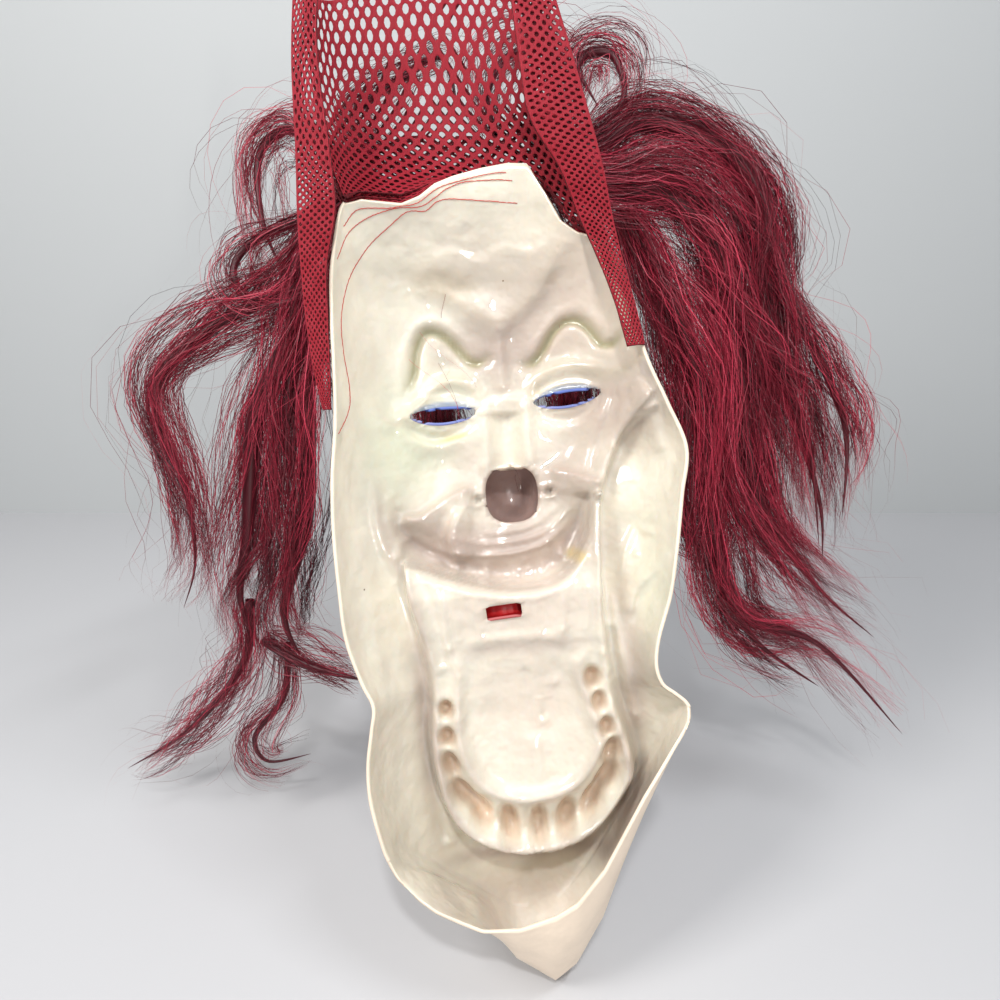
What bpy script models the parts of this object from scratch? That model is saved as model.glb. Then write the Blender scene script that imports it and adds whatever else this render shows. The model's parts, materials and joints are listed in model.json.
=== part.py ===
"""A latex clown mask hanging by its net cap, seen with its hollow side to the front.

Metres, +Z up, -Y is the hollow side. The origin is where the net is held.
The face tables are drawn on a grid: one step across is 1/178 of the face
width, one step down 1/440 of the face length, one step out 1/60 of its depth.
"""
import math

import bmesh
import bpy
import numpy as np
from mathutils import Matrix

FACE_WIDTH = 0.178
FACE_LENGTH = 0.440
FACE_DEPTH = 0.060
SHELL_WALL = 0.0016
LEAN = math.radians(22.0)
ROLL = math.radians(4.5)
HOLD = (-79.0, -10.0, 208.0)

COLUMNS = 84
ROWS = 150
SHELL_FACES = 2500

EYE_LENGTH = 0.037
EYE_HEIGHT = 0.0135
NOSE_RADIUS = 0.0205
NOSE_MOUTH = 0.0158
SLOT_LENGTH = 0.0185
SLOT_HEIGHT = 0.0078

PIECE_GAP = 0.0004
NET_WALL = 0.0012
BAND_WALL = 0.0020
STRAND = 0.0024
CROWN_ACROSS = 8
CROWN_UP = 9
SEAM_ROWS = 2
BAND_CELLS = 12
SEAM_EASE = 0.0026
SEAM_REACH = 0.88
WEFT_ROWS = (4, 7)
WEFT_DEPTH = 0.014
HAIR_GRID = 0.0040
HAIR_SHARE = 0.055

ACROSS = FACE_WIDTH / 178
DOWN = FACE_LENGTH / 440
OUT = FACE_DEPTH / 60

# Forehead edge: x, z.
FOREHEAD_EDGE = (
    (-74, 104), (-66, 107), (-46, 104), (-36, 108), (-28, 114), (-19, 117),
    (-4, 120), (10, 121.5), (20, 120.5), (23, 114), (28, 104), (34, 90),
    (43, 82), (57, 76),
)

# One row a section, from the brow of the cap down to the chin and back up its
# near wall: left x, left z, right x, right z, depth at left, middle and right,
# sag of the middle, share of the chin tip, share of the near rim.
SECTIONS = (
    (-74, 104, 57, 76, 5, 12, 8, 0, 0, 0),
    (-81.5, 74, 61.5, 59, 2, 40, 3, -4, 0, 0),
    (-83.5, 46, 66, 36, 0, 47, 1, -2, 0, 0),
    (-84.5, 19, 71, 13, 0, 48, 0, 0, 0, 0),
    (-86, -8, 79.5, -10, 0, 46, 0, 0, 0, 0),
    (-89.5, -34, 87, -33, 0, 46, 0, 0, 0, 0),
    (-91, -62, 83, -56, 0, 45, 0, 0, 0, 0),
    (-90.5, -90, 78.5, -82, 0, 42, 0, 0, 0, 0),
    (-89, -115, 73.5, -105, 0, 41, 0, 0, 0, 0),
    (-83, -137, 66, -126, 0, 43, 0, 0, 0, 0),
    (-78, -150, 63.5, -140, 0, 46, 0, 0, 0, 0),
    (-80, -163, 66, -150, 0, 50, 0, 5, 0, 0),
    (-83, -180, 72, -155.5, 0, 54, 0, 14, 0, 0),
    (-83, -198, 76, -159, 0, 58, 0, 34, 0, 0),
    (-79, -219, 77.5, -161, 0, 61, 0, 62, 0.0, 0),
    (-76.5, -227, 78, -162, 0, 58, 0, 60, 0.28, 0),
    (-74, -233, 78, -163, 0, 36, 0, 0, 1, 0),
    (-71.5, -237, 77.5, -166.5, -1, 6, -2, 0, 0.5, 0.5),
    (-68, -241.5, 76, -170, -2, -9, -3, 0, 0, 1),
)

# Drop of the chin tip and of the near rim below the line between the two
# sides: place from -1 at the left to 1 at the right, tip, rim.
CHIN = (
    (-1.0, 0, 0), (-0.8, 20, 17), (-0.5, 52, 37), (-0.25, 92, 46), (0.0, 115, 50),
    (0.15, 112, 50), (0.35, 95, 42), (0.65, 51, 20), (0.9, 14, 5), (1.0, 0, 0),
)

# The mouth block stands in from the face: its outline, x, z.
MOUTH_OUTLINE = (
    (-60, -82), (-41, -90), (-21, -97), (-1, -100), (17, -98), (29, -89), (39, -72),
    (45, -52), (42, -86), (41, -120), (43, -155), (50, -184), (53, -200), (50, -213),
    (40, -227), (26, -237), (9, -243), (-8, -244), (-22, -241), (-36, -233),
    (-46, -221), (-51, -203), (-53, -177), (-50, -152), (-52, -128), (-58, -102),
)

# Depth of the mouth block down its length: z, depth.
MOUTH_DEPTH = ((-50, 20), (-84, 14), (-100, 13), (-125, 20), (-150, 25), (-190, 27), (-245, 31))

# Folds: height toward +Y, widths of the two sides (left and right of the way
# the path runs), and the path, x, z.
FOLDS = {
    "brow_left": (4.5, 2.6, 2.6, ((-54, 13), (-50, 22), (-48, 34), (-44, 43), (-38, 45.5),
                                  (-30, 41), (-20, 29.5), (-14, 26.5), (-8.5, 29.5))),
    "brow_right": (4.5, 2.6, 2.6, ((11, 24), (17, 24), (23, 30), (29, 39), (36, 43.8),
                                   (43, 43), (49, 37), (54, 29), (60, 27.5), (63.5, 32))),
    "frown": (-6, 6, 18, ((41, 86), (25, 66), (15, 56), (3, 48.5), (-8, 50.5), (-20, 60),
                          (-31, 67), (-48, 68))),
    "glabella": (-2.5, 5, 5, ((-1, 46), (-2, 30), (-2, 8))),
    "lid_crease_left": (-3, 4, 5, ((-70, 4), (-62, -5), (-50, 2), (-40, 12), (-30, 17.5), (-20, 14),
                                   (-13, 3))),
    "lid_left": (2.5, 5, 4, ((-52, 1), (-42, 8), (-30, 11), (-18, 5))),
    "under_left": (3.5, 3, 3.5, ((-57, -6), (-48, -12), (-38, -14), (-27, -11), (-19, -4))),
    "bag_left": (-2.2, 2.5, 5, ((-60, -8), (-50, -16), (-38, -19), (-25, -14))),
    "lid_crease_right": (-3, 4, 5, ((12, 6), (20, 15), (34, 20), (48, 16), (62, 12), (74, 18))),
    "lid_right": (2.5, 5, 4, ((17, 6), (28, 12), (40, 13), (52, 8))),
    "under_right": (3, 3, 3.5, ((16, -1), (24, -7), (36, -9), (47, -4), (54, 4))),
    "bridge": (9, 7.5, 8.5, ((-1, -2), (-1, -12), (-1, -24), (-1, -36))),
    "bridge_line": (-1.5, 2, 4, ((-10, 3), (0, 4), (9, 4))),
    "cheek_line_left": (-5, 12, 2.5, ((-22, -44), (-32, -46), (-42, -52), (-52, -58), (-62, -57))),
    "cheek_line_right": (-4, 2.5, 12, ((22, -38), (30, -38), (40, -43), (48, -46))),
    "lip_plate": (-5, 14, 2.5, ((-30, -54), (-36, -64), (-37, -76), (-33, -86))),
    "upper_gum": (7, 7, 7, ((-66, -56), (-56, -72), (-40, -83), (-18, -91), (4, -92),
                            (22, -86), (34, -70), (42, -50))),
    "jaw_left": (-4, 5, 5, ((-73, -36), (-72, -58), (-68, -76), (-60, -92), (-55, -108),
                            (-52, -128), (-50, -148))),
    "side_bead_left": (-3, 2.5, 2.5, ((-66, -42), (-68, -56), (-64, -70), (-65, -80))),
    "jaw_right": (-4, 3, 3, ((45, -54), (42, -80), (41, -106), (42, -134), (46, -156))),
    "jaw_right_outer": (-3, 2.5, 2.5, ((48, -106), (50, -130), (55, -160), (58, -180))),
    "tongue_root": (-2, 3, 4, ((-30, -126), (-14, -124), (4, -124), (24, -127))),
    "tongue_rim": (-5, 4, 4, ((-34, -134), (-38, -152), (-39, -175), (-35, -192), (-26, -205),
                              (-12, -212), (4, -212), (18, -208), (29, -198), (35, -185),
                              (34, -171), (29, -155), (26, -143), (32, -136))),
    "tongue_line": (1.6, 2.5, 2.5, ((-2, -140), (-1, -160), (-1, -182))),
    "tongue_fold": (-1.4, 2, 2, ((-1, -178), (2, -192), (4, -204))),
    "gum": (-4, 4, 3, ((-49, -150), (-52, -177), (-50, -203), (-44, -222), (-35, -233),
                       (-21, -240), (-7, -243), (10, -241), (27, -235), (40, -225),
                       (50, -211), (51, -198), (48, -184), (43, -165))),
    "cheek_fold": (-9, 2.5, 16, ((77, -8), (64, -15), (55, -30), (48, -46), (45, -56))),
    "rim_roll_right": (-4, 3, 4, ((67, 6), (74, -12), (79, -34))),
    "cheek_dent": (-3.5, 3, 5, ((79, -84), (70, -93), (60, -104), (56, -118))),
    "cheek_ripple": (2.5, 5, 5, ((76, -100), (66, -110), (60, -124))),
    "wall_ripple_left": (-2.5, 4, 6, ((-84, -60), (-80, -92), (-78, -120), (-76, -146))),
    "chin_swell": (-3, 9, 9, ((-66, -222), (-50, -246), (-20, -262), (16, -262))),
}

# Dents: x, z, half width, half height, turn in degrees, depth toward +Y.
DENTS = (
    (-32, 24, 9, 7, -40, 3.0), (35, 26, 11, 6, 20, 3.0),
    (-38, -28, 18, 14, 10, 5.0), (37, -24, 17, 13, -10, 5.0),
    (-66, 14, 9, 20, 0, 3.0), (64, -28, 8, 12, 30, 5.0),
    (-20, -50, 3, 3, 0, 4.0), (21, -48.5, 3, 3, 0, 4.0),
    (-14, -168, 14, 26, 0, 5.0), (14, -168, 14, 26, 0, 5.0),
    (-28, 68, 16, 8, -10, 4.0), (40, 66, 10, 14, 20, -4.0),
    (0, 92, 34, 16, 0, 3.0), (66, -72, 9, 12, 0, 4.0),
    (72, -150, 6, 6, 0, 4.0),
)

# Lower teeth: x, z, half width, half length, turn in degrees, depth.
TEETH = (
    (-45, -161, 4.0, 4.5, 0, 9), (-45.5, -176, 4.5, 5.0, 0, 9),
    (-45, -192, 4.5, 7.5, 20, 11), (-40, -208, 5.0, 9.0, 35, 12),
    (-30, -220, 5.4, 10.0, 25, 13), (-15.5, -228, 5.6, 10.5, 8, 14),
    (0, -229.5, 5.6, 10.5, -2, 14), (15, -226.5, 5.6, 10.5, -12, 14),
    (29, -218.5, 5.4, 10.0, -28, 13), (38.5, -205, 5.0, 9.5, -38, 12),
    (42, -191, 4.4, 7.5, -24, 11), (40, -177, 4.2, 5.0, -8, 9), (37, -163, 4.0, 5.0, 0, 9),
    (34.5, -150, 4.2, 5.5, 0, 9),
)

# Upper teeth: fingers between the pockets, x, z, height.
UPPER_TEETH = ((-34, -88, 2.0), (-19, -92, 3.0), (-3, -94, 3.5), (13, -91, 3.0), (24, -84, 2.5))

# Net crown, a row a section from the forehead seam up to the held end: left x,
# depth and z, right x, depth and z, depth of the middle, rise of the middle.
CROWN = (
    (-80, 1, 128, 44, 3, 112, 30, 5), (-85, -5, 160, 36, -2, 150, 34, 6),
    (-84, -6, 207, 31, -6, 199, 22, 18),
)

# Net bands down the two sides of the cap: z, inner x, outer x, depth.
BAND_LEFT = ((208, -76, -88, -10), (170, -79, -92, -10), (125, -77, -94, -8), (97, -77, -96, -6),
             (72, -83.8, -97, -3), (46, -85.8, -97, -1), (20, -86.8, -95, -1), (0, -88, -92, -1))
BAND_RIGHT = ((192, 17, 38.5, -10), (160, 19, 46, -8), (134, 22, 51.5, -7), (110, 35, 56.5, -4),
              (88, 43, 60, 1), (67, 51, 63.5, 2.6), (44, 57.5, 67.5, 0.5), (20, 62, 71, -1))

# Wig locks: thickness at root, body and tip, then x, depth, z. A thin root
# starts in the weft; a thick one grows out of the locks around it.
LOCKS_LEFT = (
    (9, 20, 9, ((-58, 28, 138), (-84, 36, 146), (-110, 48, 166), (-129, 52, 153), (-128, 50, 111),
                (-112, 46, 72))),
    (16, 16, 14, ((-98, 42, 114), (-136, 50, 105), (-148, 50, 87), (-133, 48, 68), (-99, 42, 72))),
    (9, 26, 9, ((-58, 28, 128), (-92, 38, 112), (-119, 50, 79), (-166, 56, 59), (-200, 56, 27),
                (-189, 60, -30), (-187, 62, -72), (-196, 62, -100))),
    (9, 40, 20, ((-62, 30, 124), (-96, 40, 90), (-122, 60, 50), (-149, 72, 7), (-162, 82, -58),
                 (-172, 88, -100), (-163, 94, -133))),
    (18, 34, 18, ((-98, 44, 84), (-112, 58, 30), (-124, 76, -50), (-145, 86, -109), (-139, 92, -138))),
    (18, 22, 12, ((-162, 92, -127), (-134, 92, -145), (-100, 92, -157))),
    (22, 18, 8, ((-166, 88, -101), (-177, 100, -141), (-228, 132, -189), (-286, 158, -221))),
    (16, 13, 8, ((-146, 92, -130), (-155, 104, -166), (-180, 118, -194), (-176, 128, -214),
                 (-146, 124, -210))),
    (9, 16, 14, ((-60, 32, 146), (-74, 52, 172), (-45, 62, 198), (-21, 62, 208), (-14, 56, 176))),
    (9, 26, 20, ((-46, 34, 128), (-44, 58, 96), (-42, 74, 44), (-41, 80, -20), (-38, 82, -74),
                 (-20, 86, -124))),
)
LOCKS_RIGHT = (
    (9, 20, 16, ((20, 38, 150), (44, 46, 164), (58, 50, 194), (76, 52, 196), (81, 50, 173),
                 (66, 44, 149))),
    (9, 44, 16, ((24, 38, 140), (60, 46, 142), (95, 56, 158), (142, 62, 138), (164, 70, 98),
                 (162, 76, 56), (174, 84, -5), (190, 90, -67), (189, 90, -104))),
    (9, 56, 15, ((30, 36, 126), (66, 48, 118), (106, 60, 114), (133, 68, 82), (144, 82, 16),
                 (153, 90, -64), (186, 96, -120), (222, 100, -157))),
    (16, 46, 18, ((74, 48, 108), (88, 58, 84), (104, 64, 50), (118, 78, -1), (121, 88, -74),
                  (138, 92, -133), (187, 98, -159), (236, 102, -220))),
    (20, 18, 9, ((143, 68, 94), (180, 75, 39), (200, 76, -8), (203, 76, -38), (197, 76, -78))),
    (20, 22, 9, ((120, 64, 79), (159, 78, 23), (182, 82, -24), (186, 86, -94))),
    (20, 14, 9, ((111, 76, -1), (105, 88, -63), (108, 92, -86), (127, 92, -98))),
    (18, 12, 8, ((126, 90, -118), (146, 94, -153), (183, 96, -184))),
    (9, 16, 14, ((6, 40, 150), (4, 58, 184), (20, 64, 208), (48, 56, 200), (66, 48, 164))),
    (9, 26, 20, ((22, 40, 128), (34, 62, 96), (41, 76, 44), (42, 80, -20), (40, 83, -74),
                 (22, 87, -118))),
)

# Openings through the face: x, z, turn in degrees.
EYES = ((-35, -1.6, 2.5), (34, 2.4, 3.0))
SLOT = (-9.8, -109.8, 4.0)
NOSE = (-0.5, -49.0)


def smooth(edge, width):
    """0 below -width, 1 above +width, smooth between."""
    t = np.clip(edge / (2 * width) + 0.5, 0.0, 1.0)
    return t * t * (3 - 2 * t)


def spline(points, count):
    """A smooth run of count points through the rows of a table."""
    rows = np.asarray(points, dtype=float)
    return sample(rows, np.linspace(0, len(rows) - 1, count))


def sample(rows, place):
    """Rows of a table read smoothly at fractional row numbers."""
    rows = np.asarray(rows, dtype=float)
    place = np.clip(place, 0, len(rows) - 1)
    low = np.clip(np.floor(place).astype(int), 0, len(rows) - 2)
    t = (place - low)[..., None]
    before = rows[np.clip(low - 1, 0, None)]
    here = rows[low]
    there = rows[low + 1]
    after = rows[np.clip(low + 2, None, len(rows) - 1)]
    return 0.5 * (2 * here + (there - before) * t + (2 * before - 5 * here + 4 * there - after) * t ** 2
                  + (3 * here - before - 3 * there + after) * t ** 3)


def by_place(table, place, column):
    """A column of a table whose first column is the place, read between rows."""
    rows = np.asarray(table, dtype=float)
    order = np.argsort(rows[:, 0])
    return np.interp(place, rows[order, 0], rows[order, column])


def to_path(x, z, path):
    """Distance to a path, the side (+1 left of its run, -1 right, 0 ahead) and the share along."""
    best = np.full(x.shape, 1e9)
    side = np.ones(x.shape)
    share = np.zeros(x.shape)
    steps = len(path) - 1
    for i in range(steps):
        dx, dz = path[i + 1] - path[i]
        t = np.clip(((x - path[i, 0]) * dx + (z - path[i, 1]) * dz) / (dx * dx + dz * dz), 0, 1)
        ex = x - path[i, 0] - t * dx
        ez = z - path[i, 1] - t * dz
        dist = np.hypot(ex, ez)
        near = dist < best
        best = np.where(near, dist, best)
        side = np.where(near, (dx * ez - dz * ex) / (math.hypot(dx, dz) * dist + 1e-9), side)
        share = np.where(near, (i + t) / steps, share)
    return best, side, share


def within(x, z, path):
    """True inside a closed path."""
    odd = np.zeros(x.shape, dtype=bool)
    for (ax, az), (bx, bz) in zip(path, np.roll(path, -1, axis=0)):
        across = (az > z) != (bz > z)
        odd ^= across & (x < (bx - ax) * (z - az) / (bz - az + 1e-12) + ax)
    return odd


def fold(x, z, height, left, right, points):
    """A rounded ridge along a path with its own width on each side."""
    path = spline(points, 4 * len(points))
    dist, side, share = to_path(x, z, path)
    width = right + (left - right) * 0.5 * (side + 1)
    ends = np.minimum(1.0, np.minimum(share, 1 - share) * 6 + 0.25)
    return height * ends * np.exp(-(dist / width) ** 2)


def dent(x, z, cx, cz, half_w, half_h, turn, depth, flat=1.0):
    c, s = math.cos(math.radians(turn)), math.sin(math.radians(turn))
    u = ((x - cx) * c + (z - cz) * s) / half_w
    v = (-(x - cx) * s + (z - cz) * c) / half_h
    return depth * np.exp(-(u * u + v * v) ** flat)


def face_grid(across, down):
    """Places of the inner skin of the face, in grid steps, for a grid of cells."""
    last = len(SECTIONS) - 1
    angle, row = np.meshgrid(np.linspace(-1, 1, across + 1), np.linspace(0, last, down + 1))
    angle = angle * math.radians(84)
    reach = np.sign(angle) * np.abs(np.sin(angle) / math.sin(math.radians(84))) ** 0.8
    bow = (np.cos(angle) - math.cos(math.radians(84))) / (1 - math.cos(math.radians(84)))
    cut = sample(SECTIONS, row)
    lx, lz, rx, rz, ly, my, ry, sag, tip, rim = np.moveaxis(cut, 2, 0)
    half = 0.5 * (reach + 1)
    x = lx + (rx - lx) * half
    chord = lz + (rz - lz) * half
    z = (chord - sag * (1 - reach ** 2) - tip * by_place(CHIN, reach, 1)
         - rim * by_place(CHIN, reach, 2))
    edge = by_place(FOREHEAD_EDGE, x, 1)
    z = z + (edge - chord) * np.clip(1 - row, 0, 1) ** 2
    side = ly + (ry - ly) * half
    y = side + (my - side) * np.abs(bow) ** np.where(row > 15, 1.3, 0.9)
    return x, y, z, row


def mouth(x, z, y):
    """Depth with the mouth block standing in from the face."""
    path = spline(MOUTH_OUTLINE + MOUTH_OUTLINE[:1], 4 * len(MOUTH_OUTLINE))
    dist = to_path(x, z, path)[0]
    inside = np.where(within(x, z, path), dist, -dist)
    block = by_place(MOUTH_DEPTH, z, 1)
    wide = 2.0 + 2.5 * np.clip((-95 - z) / 30, 0, 1)
    return y + (np.minimum(block, y) - y) * smooth(inside + wide * 0.6, wide)


def nose(x, y, z):
    """The round nose swells behind a smaller mouth, so its cells open out."""
    dx = (x - NOSE[0]) * ACROSS
    dz = (z - NOSE[1]) * DOWN
    r = np.hypot(dx, dz)
    turn = math.pi - math.asin(NOSE_MOUTH / NOSE_RADIUS)
    inner = r < NOSE_MOUTH
    angle = np.clip(r / NOSE_MOUTH, 0, 1) * turn
    grow = np.where(inner, NOSE_RADIUS * np.sin(angle) / np.maximum(r, 1e-6), 1.0)
    grow = np.where(r < 1e-6, 1.0, grow)
    deep = NOSE_RADIUS * (np.cos(angle) - math.cos(turn))
    level = y[np.unravel_index(np.argmin(np.abs(r - NOSE_MOUTH)), r.shape)]
    blend = smooth(0.004 - (r - NOSE_MOUTH), 0.003)
    y = np.where(inner, level + deep / OUT, y + (level - y) * blend)
    return NOSE[0] + dx * grow / ACROSS, y, NOSE[1] + dz * grow / DOWN


def face_points(across, down):
    """Inner skin of the whole face, in grid steps."""
    x, y, z, row = face_grid(across, down)
    face = smooth(14.4 - row, 0.5)
    before = y.copy()
    y = mouth(x, z, y)
    for height, left, right, points in FOLDS.values():
        y = y + fold(x, z, height, left, right, points)
    for spot in DENTS:
        y = y + dent(x, z, *spot)
    for spot in TEETH:
        y = y + dent(x, z, *spot, flat=1.6)
    for cx, cz, height in UPPER_TEETH:
        y = y - dent(x, z, cx, cz, 2.2, 5, 0, height)
    rim = np.clip(10 * (1 - np.abs(np.linspace(-1, 1, across + 1))), 0, 1)[None, :]
    edge = np.clip(row * 2.5, 0, 1)
    y = before + (y - before) * face * rim * edge
    return nose(x, y, z)


def to_world():
    """From face metres to the world: rolled, leant back, and hung by the hold."""
    turn = Matrix.Rotation(-LEAN, 4, "X") @ Matrix.Rotation(-ROLL, 4, "Y")
    hold = turn @ Matrix.Translation((HOLD[0] * ACROSS, HOLD[1] * OUT, HOLD[2] * DOWN))
    return Matrix.Translation(-hold.translation) @ turn


def to_metres(x, y, z):
    return np.stack([x * ACROSS, y * OUT, z * DOWN], axis=-1)


def grid_mesh(name, points):
    """A sheet with one vertex a grid place, points indexed down, across, xyz."""
    down, across = points.shape[:2]
    mesh = bpy.data.meshes.new(name)
    quads = [(r * across + c, r * across + c + 1, (r + 1) * across + c + 1, (r + 1) * across + c)
             for r in range(down - 1) for c in range(across - 1)]
    mesh.from_pydata([tuple(p) for p in points.reshape(-1, 3)], [], quads)
    mesh.update()
    return mesh


def material(name, colour, roughness, metallic=0.0):
    mat = bpy.data.materials.new(name)
    mat.use_nodes = True
    shader = mat.node_tree.nodes["Principled BSDF"]
    shader.inputs["Base Color"].default_value = (*colour, 1.0)
    shader.inputs["Roughness"].default_value = roughness
    shader.inputs["Metallic"].default_value = metallic
    return mat


def add(collection, name, mesh, mat=None):
    obj = bpy.data.objects.new(name, mesh)
    collection.objects.link(obj)
    if mat:
        mesh.materials.append(mat)
    return obj


def prism(collection, name, outline, centre, turn, near, far):
    """A cutter: an outline in face metres, run through the shell."""
    bm = bmesh.new()
    c, s = math.cos(math.radians(turn)), math.sin(math.radians(turn))
    rings = []
    for y in (near, far):
        rings.append([bm.verts.new((centre[0] * ACROSS + u * c - v * s, y,
                                    centre[1] * DOWN + u * s + v * c)) for u, v in outline])
    bm.faces.new(rings[0])
    bm.faces.new(reversed(rings[1]))
    count = len(outline)
    for i in range(count):
        j = (i + 1) % count
        bm.faces.new((rings[0][j], rings[0][i], rings[1][i], rings[1][j]))
    bmesh.ops.recalc_face_normals(bm, faces=bm.faces)
    mesh = bpy.data.meshes.new(name)
    bm.to_mesh(mesh)
    bm.free()
    obj = add(collection, name, mesh)
    obj.hide_render = True
    obj.display_type = "WIRE"
    obj.matrix_world = to_world()
    return obj


def almond(length, height, steps=10):
    """An eye shape, a little fuller above than below."""
    top = [(length / 2 * math.cos(math.pi * i / steps), 0.56 * height * math.sin(math.pi * i / steps) ** 1.3)
           for i in range(steps + 1)]
    low = [(-length / 2 * math.cos(math.pi * i / steps), -0.44 * height * math.sin(math.pi * i / steps) ** 1.3)
           for i in range(1, steps)]
    return top + low


def boolean(obj, cutter, operation="DIFFERENCE"):
    mod = obj.modifiers.new("cut_" + cutter.name, "BOOLEAN")
    mod.operation = operation
    mod.solver = "EXACT"
    mod.object = cutter


def shade_smooth(obj):
    for face in obj.data.polygons:
        face.use_smooth = True


def build_shell(parts, cutters, mat):
    points = to_metres(*face_points(COLUMNS, ROWS))
    shell = add(parts, "mask_shell", grid_mesh("mask_shell", points), mat)
    shell.matrix_world = to_world()
    shade_smooth(shell)
    thin = shell.modifiers.new("fewer_faces", "DECIMATE")
    thin.ratio = SHELL_FACES / (2 * COLUMNS * ROWS)
    wall = shell.modifiers.new("wall", "SOLIDIFY")
    wall.thickness = SHELL_WALL
    wall.offset = 1.0
    for i, (x, z, turn) in enumerate(EYES):
        hole = prism(cutters, "eye_cut_%d" % i, almond(EYE_LENGTH, EYE_HEIGHT), (x, z), turn, 0.0, 0.08)
        boolean(shell, hole)
    half, tall = SLOT_LENGTH / 2, SLOT_HEIGHT / 2
    box = [(-half, -tall), (half, -tall), (half, tall), (-half, tall)]
    boolean(shell, prism(cutters, "slot_cut", box, SLOT[:2], SLOT[2], -0.01, 0.045))
    return shell


def normals(points):
    """Directions off a sheet of points, toward its outer side, +Y in the middle."""
    out = np.cross(np.gradient(points, axis=1), np.gradient(points, axis=0))
    out = out / np.linalg.norm(out, axis=2, keepdims=True)
    return out * np.sign(out[:, points.shape[1] // 2, 1])[:, None, None]


def net_crown_points(across, up):
    """The crown of the cap, from its seam outside the forehead to the held end."""
    wide, down = 40, 180
    face = np.stack(face_points(wide, down), axis=-1)
    out = normals(face)
    clear = (SHELL_WALL + PIECE_GAP + 0.5 * NET_WALL + SEAM_EASE) / OUT
    place = np.linspace(-SEAM_REACH, SEAM_REACH, wide + 1) * wide / 2 + wide / 2
    seam = [sample(face[r] + out[r] * clear, place) for r in (1, 0)]
    u = np.linspace(-1, 1, wide + 1)
    angle = u * math.radians(84)
    reach = np.sin(angle) / math.sin(math.radians(84))
    bow = np.cos(angle)
    rows = list(seam)
    for lx, ly, lz, rx, ry, rz, my, rise in CROWN:
        half = 0.5 * (reach + 1)
        side = ly + (ry - ly) * half
        rows.append(np.stack([lx + (rx - lx) * half, side + (my - side) * bow ** 0.9,
                              lz + (rz - lz) * half + rise * (1 - reach ** 2)], axis=1))
    stack = np.array(rows).reshape(len(rows), -1)
    columns = sample(stack, np.linspace(0, len(rows) - 1, up + 1)).reshape(up + 1, wide + 1, 3)
    columns = np.moveaxis(columns, 1, 0).reshape(wide + 1, -1)
    cut = sample(columns, np.linspace(0, wide, across + 1)).reshape(across + 1, up + 1, 3)
    return np.moveaxis(cut, 0, 1)


def band_points(table, across, along):
    rows = sample(table, np.linspace(0, len(table) - 1, along + 1))
    share = np.linspace(0, 1, across + 1)
    z, inner, outer, y = rows.T
    x = inner[:, None] + (outer - inner)[:, None] * share
    bend = 1.6 * np.sin(math.pi * share)[None, :]
    return np.stack([x, y[:, None] - bend, z[:, None] + 0 * x], axis=-1)


def net_piece(parts, name, points, wall, keep_rows, mat):
    """A sheet of net: every cell past the kept rows is cut through."""
    grid = to_metres(*np.moveaxis(points, 2, 0))
    mesh = grid_mesh(name, grid)
    bm = bmesh.new()
    bm.from_mesh(mesh)
    bm.faces.ensure_lookup_table()
    across = points.shape[1] - 1
    open_cells = bm.faces[keep_rows * across:]
    bmesh.ops.inset_individual(bm, faces=open_cells, thickness=STRAND, use_even_offset=True)
    bmesh.ops.delete(bm, geom=open_cells, context="FACES")
    bm.to_mesh(mesh)
    bm.free()
    obj = add(parts, name, mesh, mat)
    obj.matrix_world = to_world()
    thick = obj.modifiers.new("wall", "SOLIDIFY")
    thick.thickness = wall
    thick.offset = 0.0
    return obj


def tube(bm, path, radii, flat=0.7, sides=8):
    """A closed tube along a path of metres, flattened front to back."""
    rings = []
    for i, place in enumerate(path):
        ahead = path[min(i + 1, len(path) - 1)] - path[max(i - 1, 0)]
        ahead = ahead / np.linalg.norm(ahead)
        out = np.cross(ahead, (0.0, 1.0, 0.0))
        out = out / max(np.linalg.norm(out), 1e-9)
        up = flat * np.cross(out, ahead)
        ring = []
        for k in range(sides):
            a = 2 * math.pi * k / sides
            ring.append(bm.verts.new(place + radii[i] * (math.cos(a) * out + math.sin(a) * up)))
        rings.append(ring)
    for lower, upper in zip(rings, rings[1:]):
        for k in range(sides):
            j = (k + 1) % sides
            bm.faces.new((lower[k], lower[j], upper[j], upper[k]))
    bm.faces.new(reversed(rings[0]))
    bm.faces.new(rings[-1])


def slab(bm, near, far):
    """A closed block between two sheets of points."""
    down, across = near.shape[:2]
    sheets = [[[bm.verts.new(p) for p in line] for line in sheet] for sheet in (near, far)]
    a, b = sheets
    for r in range(down - 1):
        for c in range(across - 1):
            bm.faces.new((a[r][c], a[r][c + 1], a[r + 1][c + 1], a[r + 1][c]))
            bm.faces.new((b[r][c], b[r + 1][c], b[r + 1][c + 1], b[r][c + 1]))
    ring = ([(0, c) for c in range(across)] + [(r, across - 1) for r in range(1, down)]
            + [(down - 1, c) for c in range(across - 2, -1, -1)] + [(r, 0) for r in range(down - 2, 0, -1)])
    for (r0, c0), (r1, c1) in zip(ring, ring[1:] + ring[:1]):
        bm.faces.new((a[r0][c0], b[r0][c0], b[r1][c1], a[r1][c1]))


def weft_sheets(left):
    """The two faces of a weft: the crown's own cells, set back by the piece gap."""
    crown = net_crown_points(CROWN_ACROSS, CROWN_UP)
    out = normals(crown)
    middle = CROWN_ACROSS // 2
    rows = slice(WEFT_ROWS[0], WEFT_ROWS[1] + 1)
    columns = slice(0, middle + 1) if left else slice(middle, None)
    crown, out = crown[rows, columns].copy(), out[rows, columns]
    edge, beside = (-1, -2) if left else (0, 1)
    crown[:, edge] = 0.97 * crown[:, edge] + 0.03 * crown[:, beside]
    near = crown + out * (0.5 * NET_WALL + 2.3 * PIECE_GAP) / OUT
    return near, near + out * WEFT_DEPTH / OUT


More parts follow.
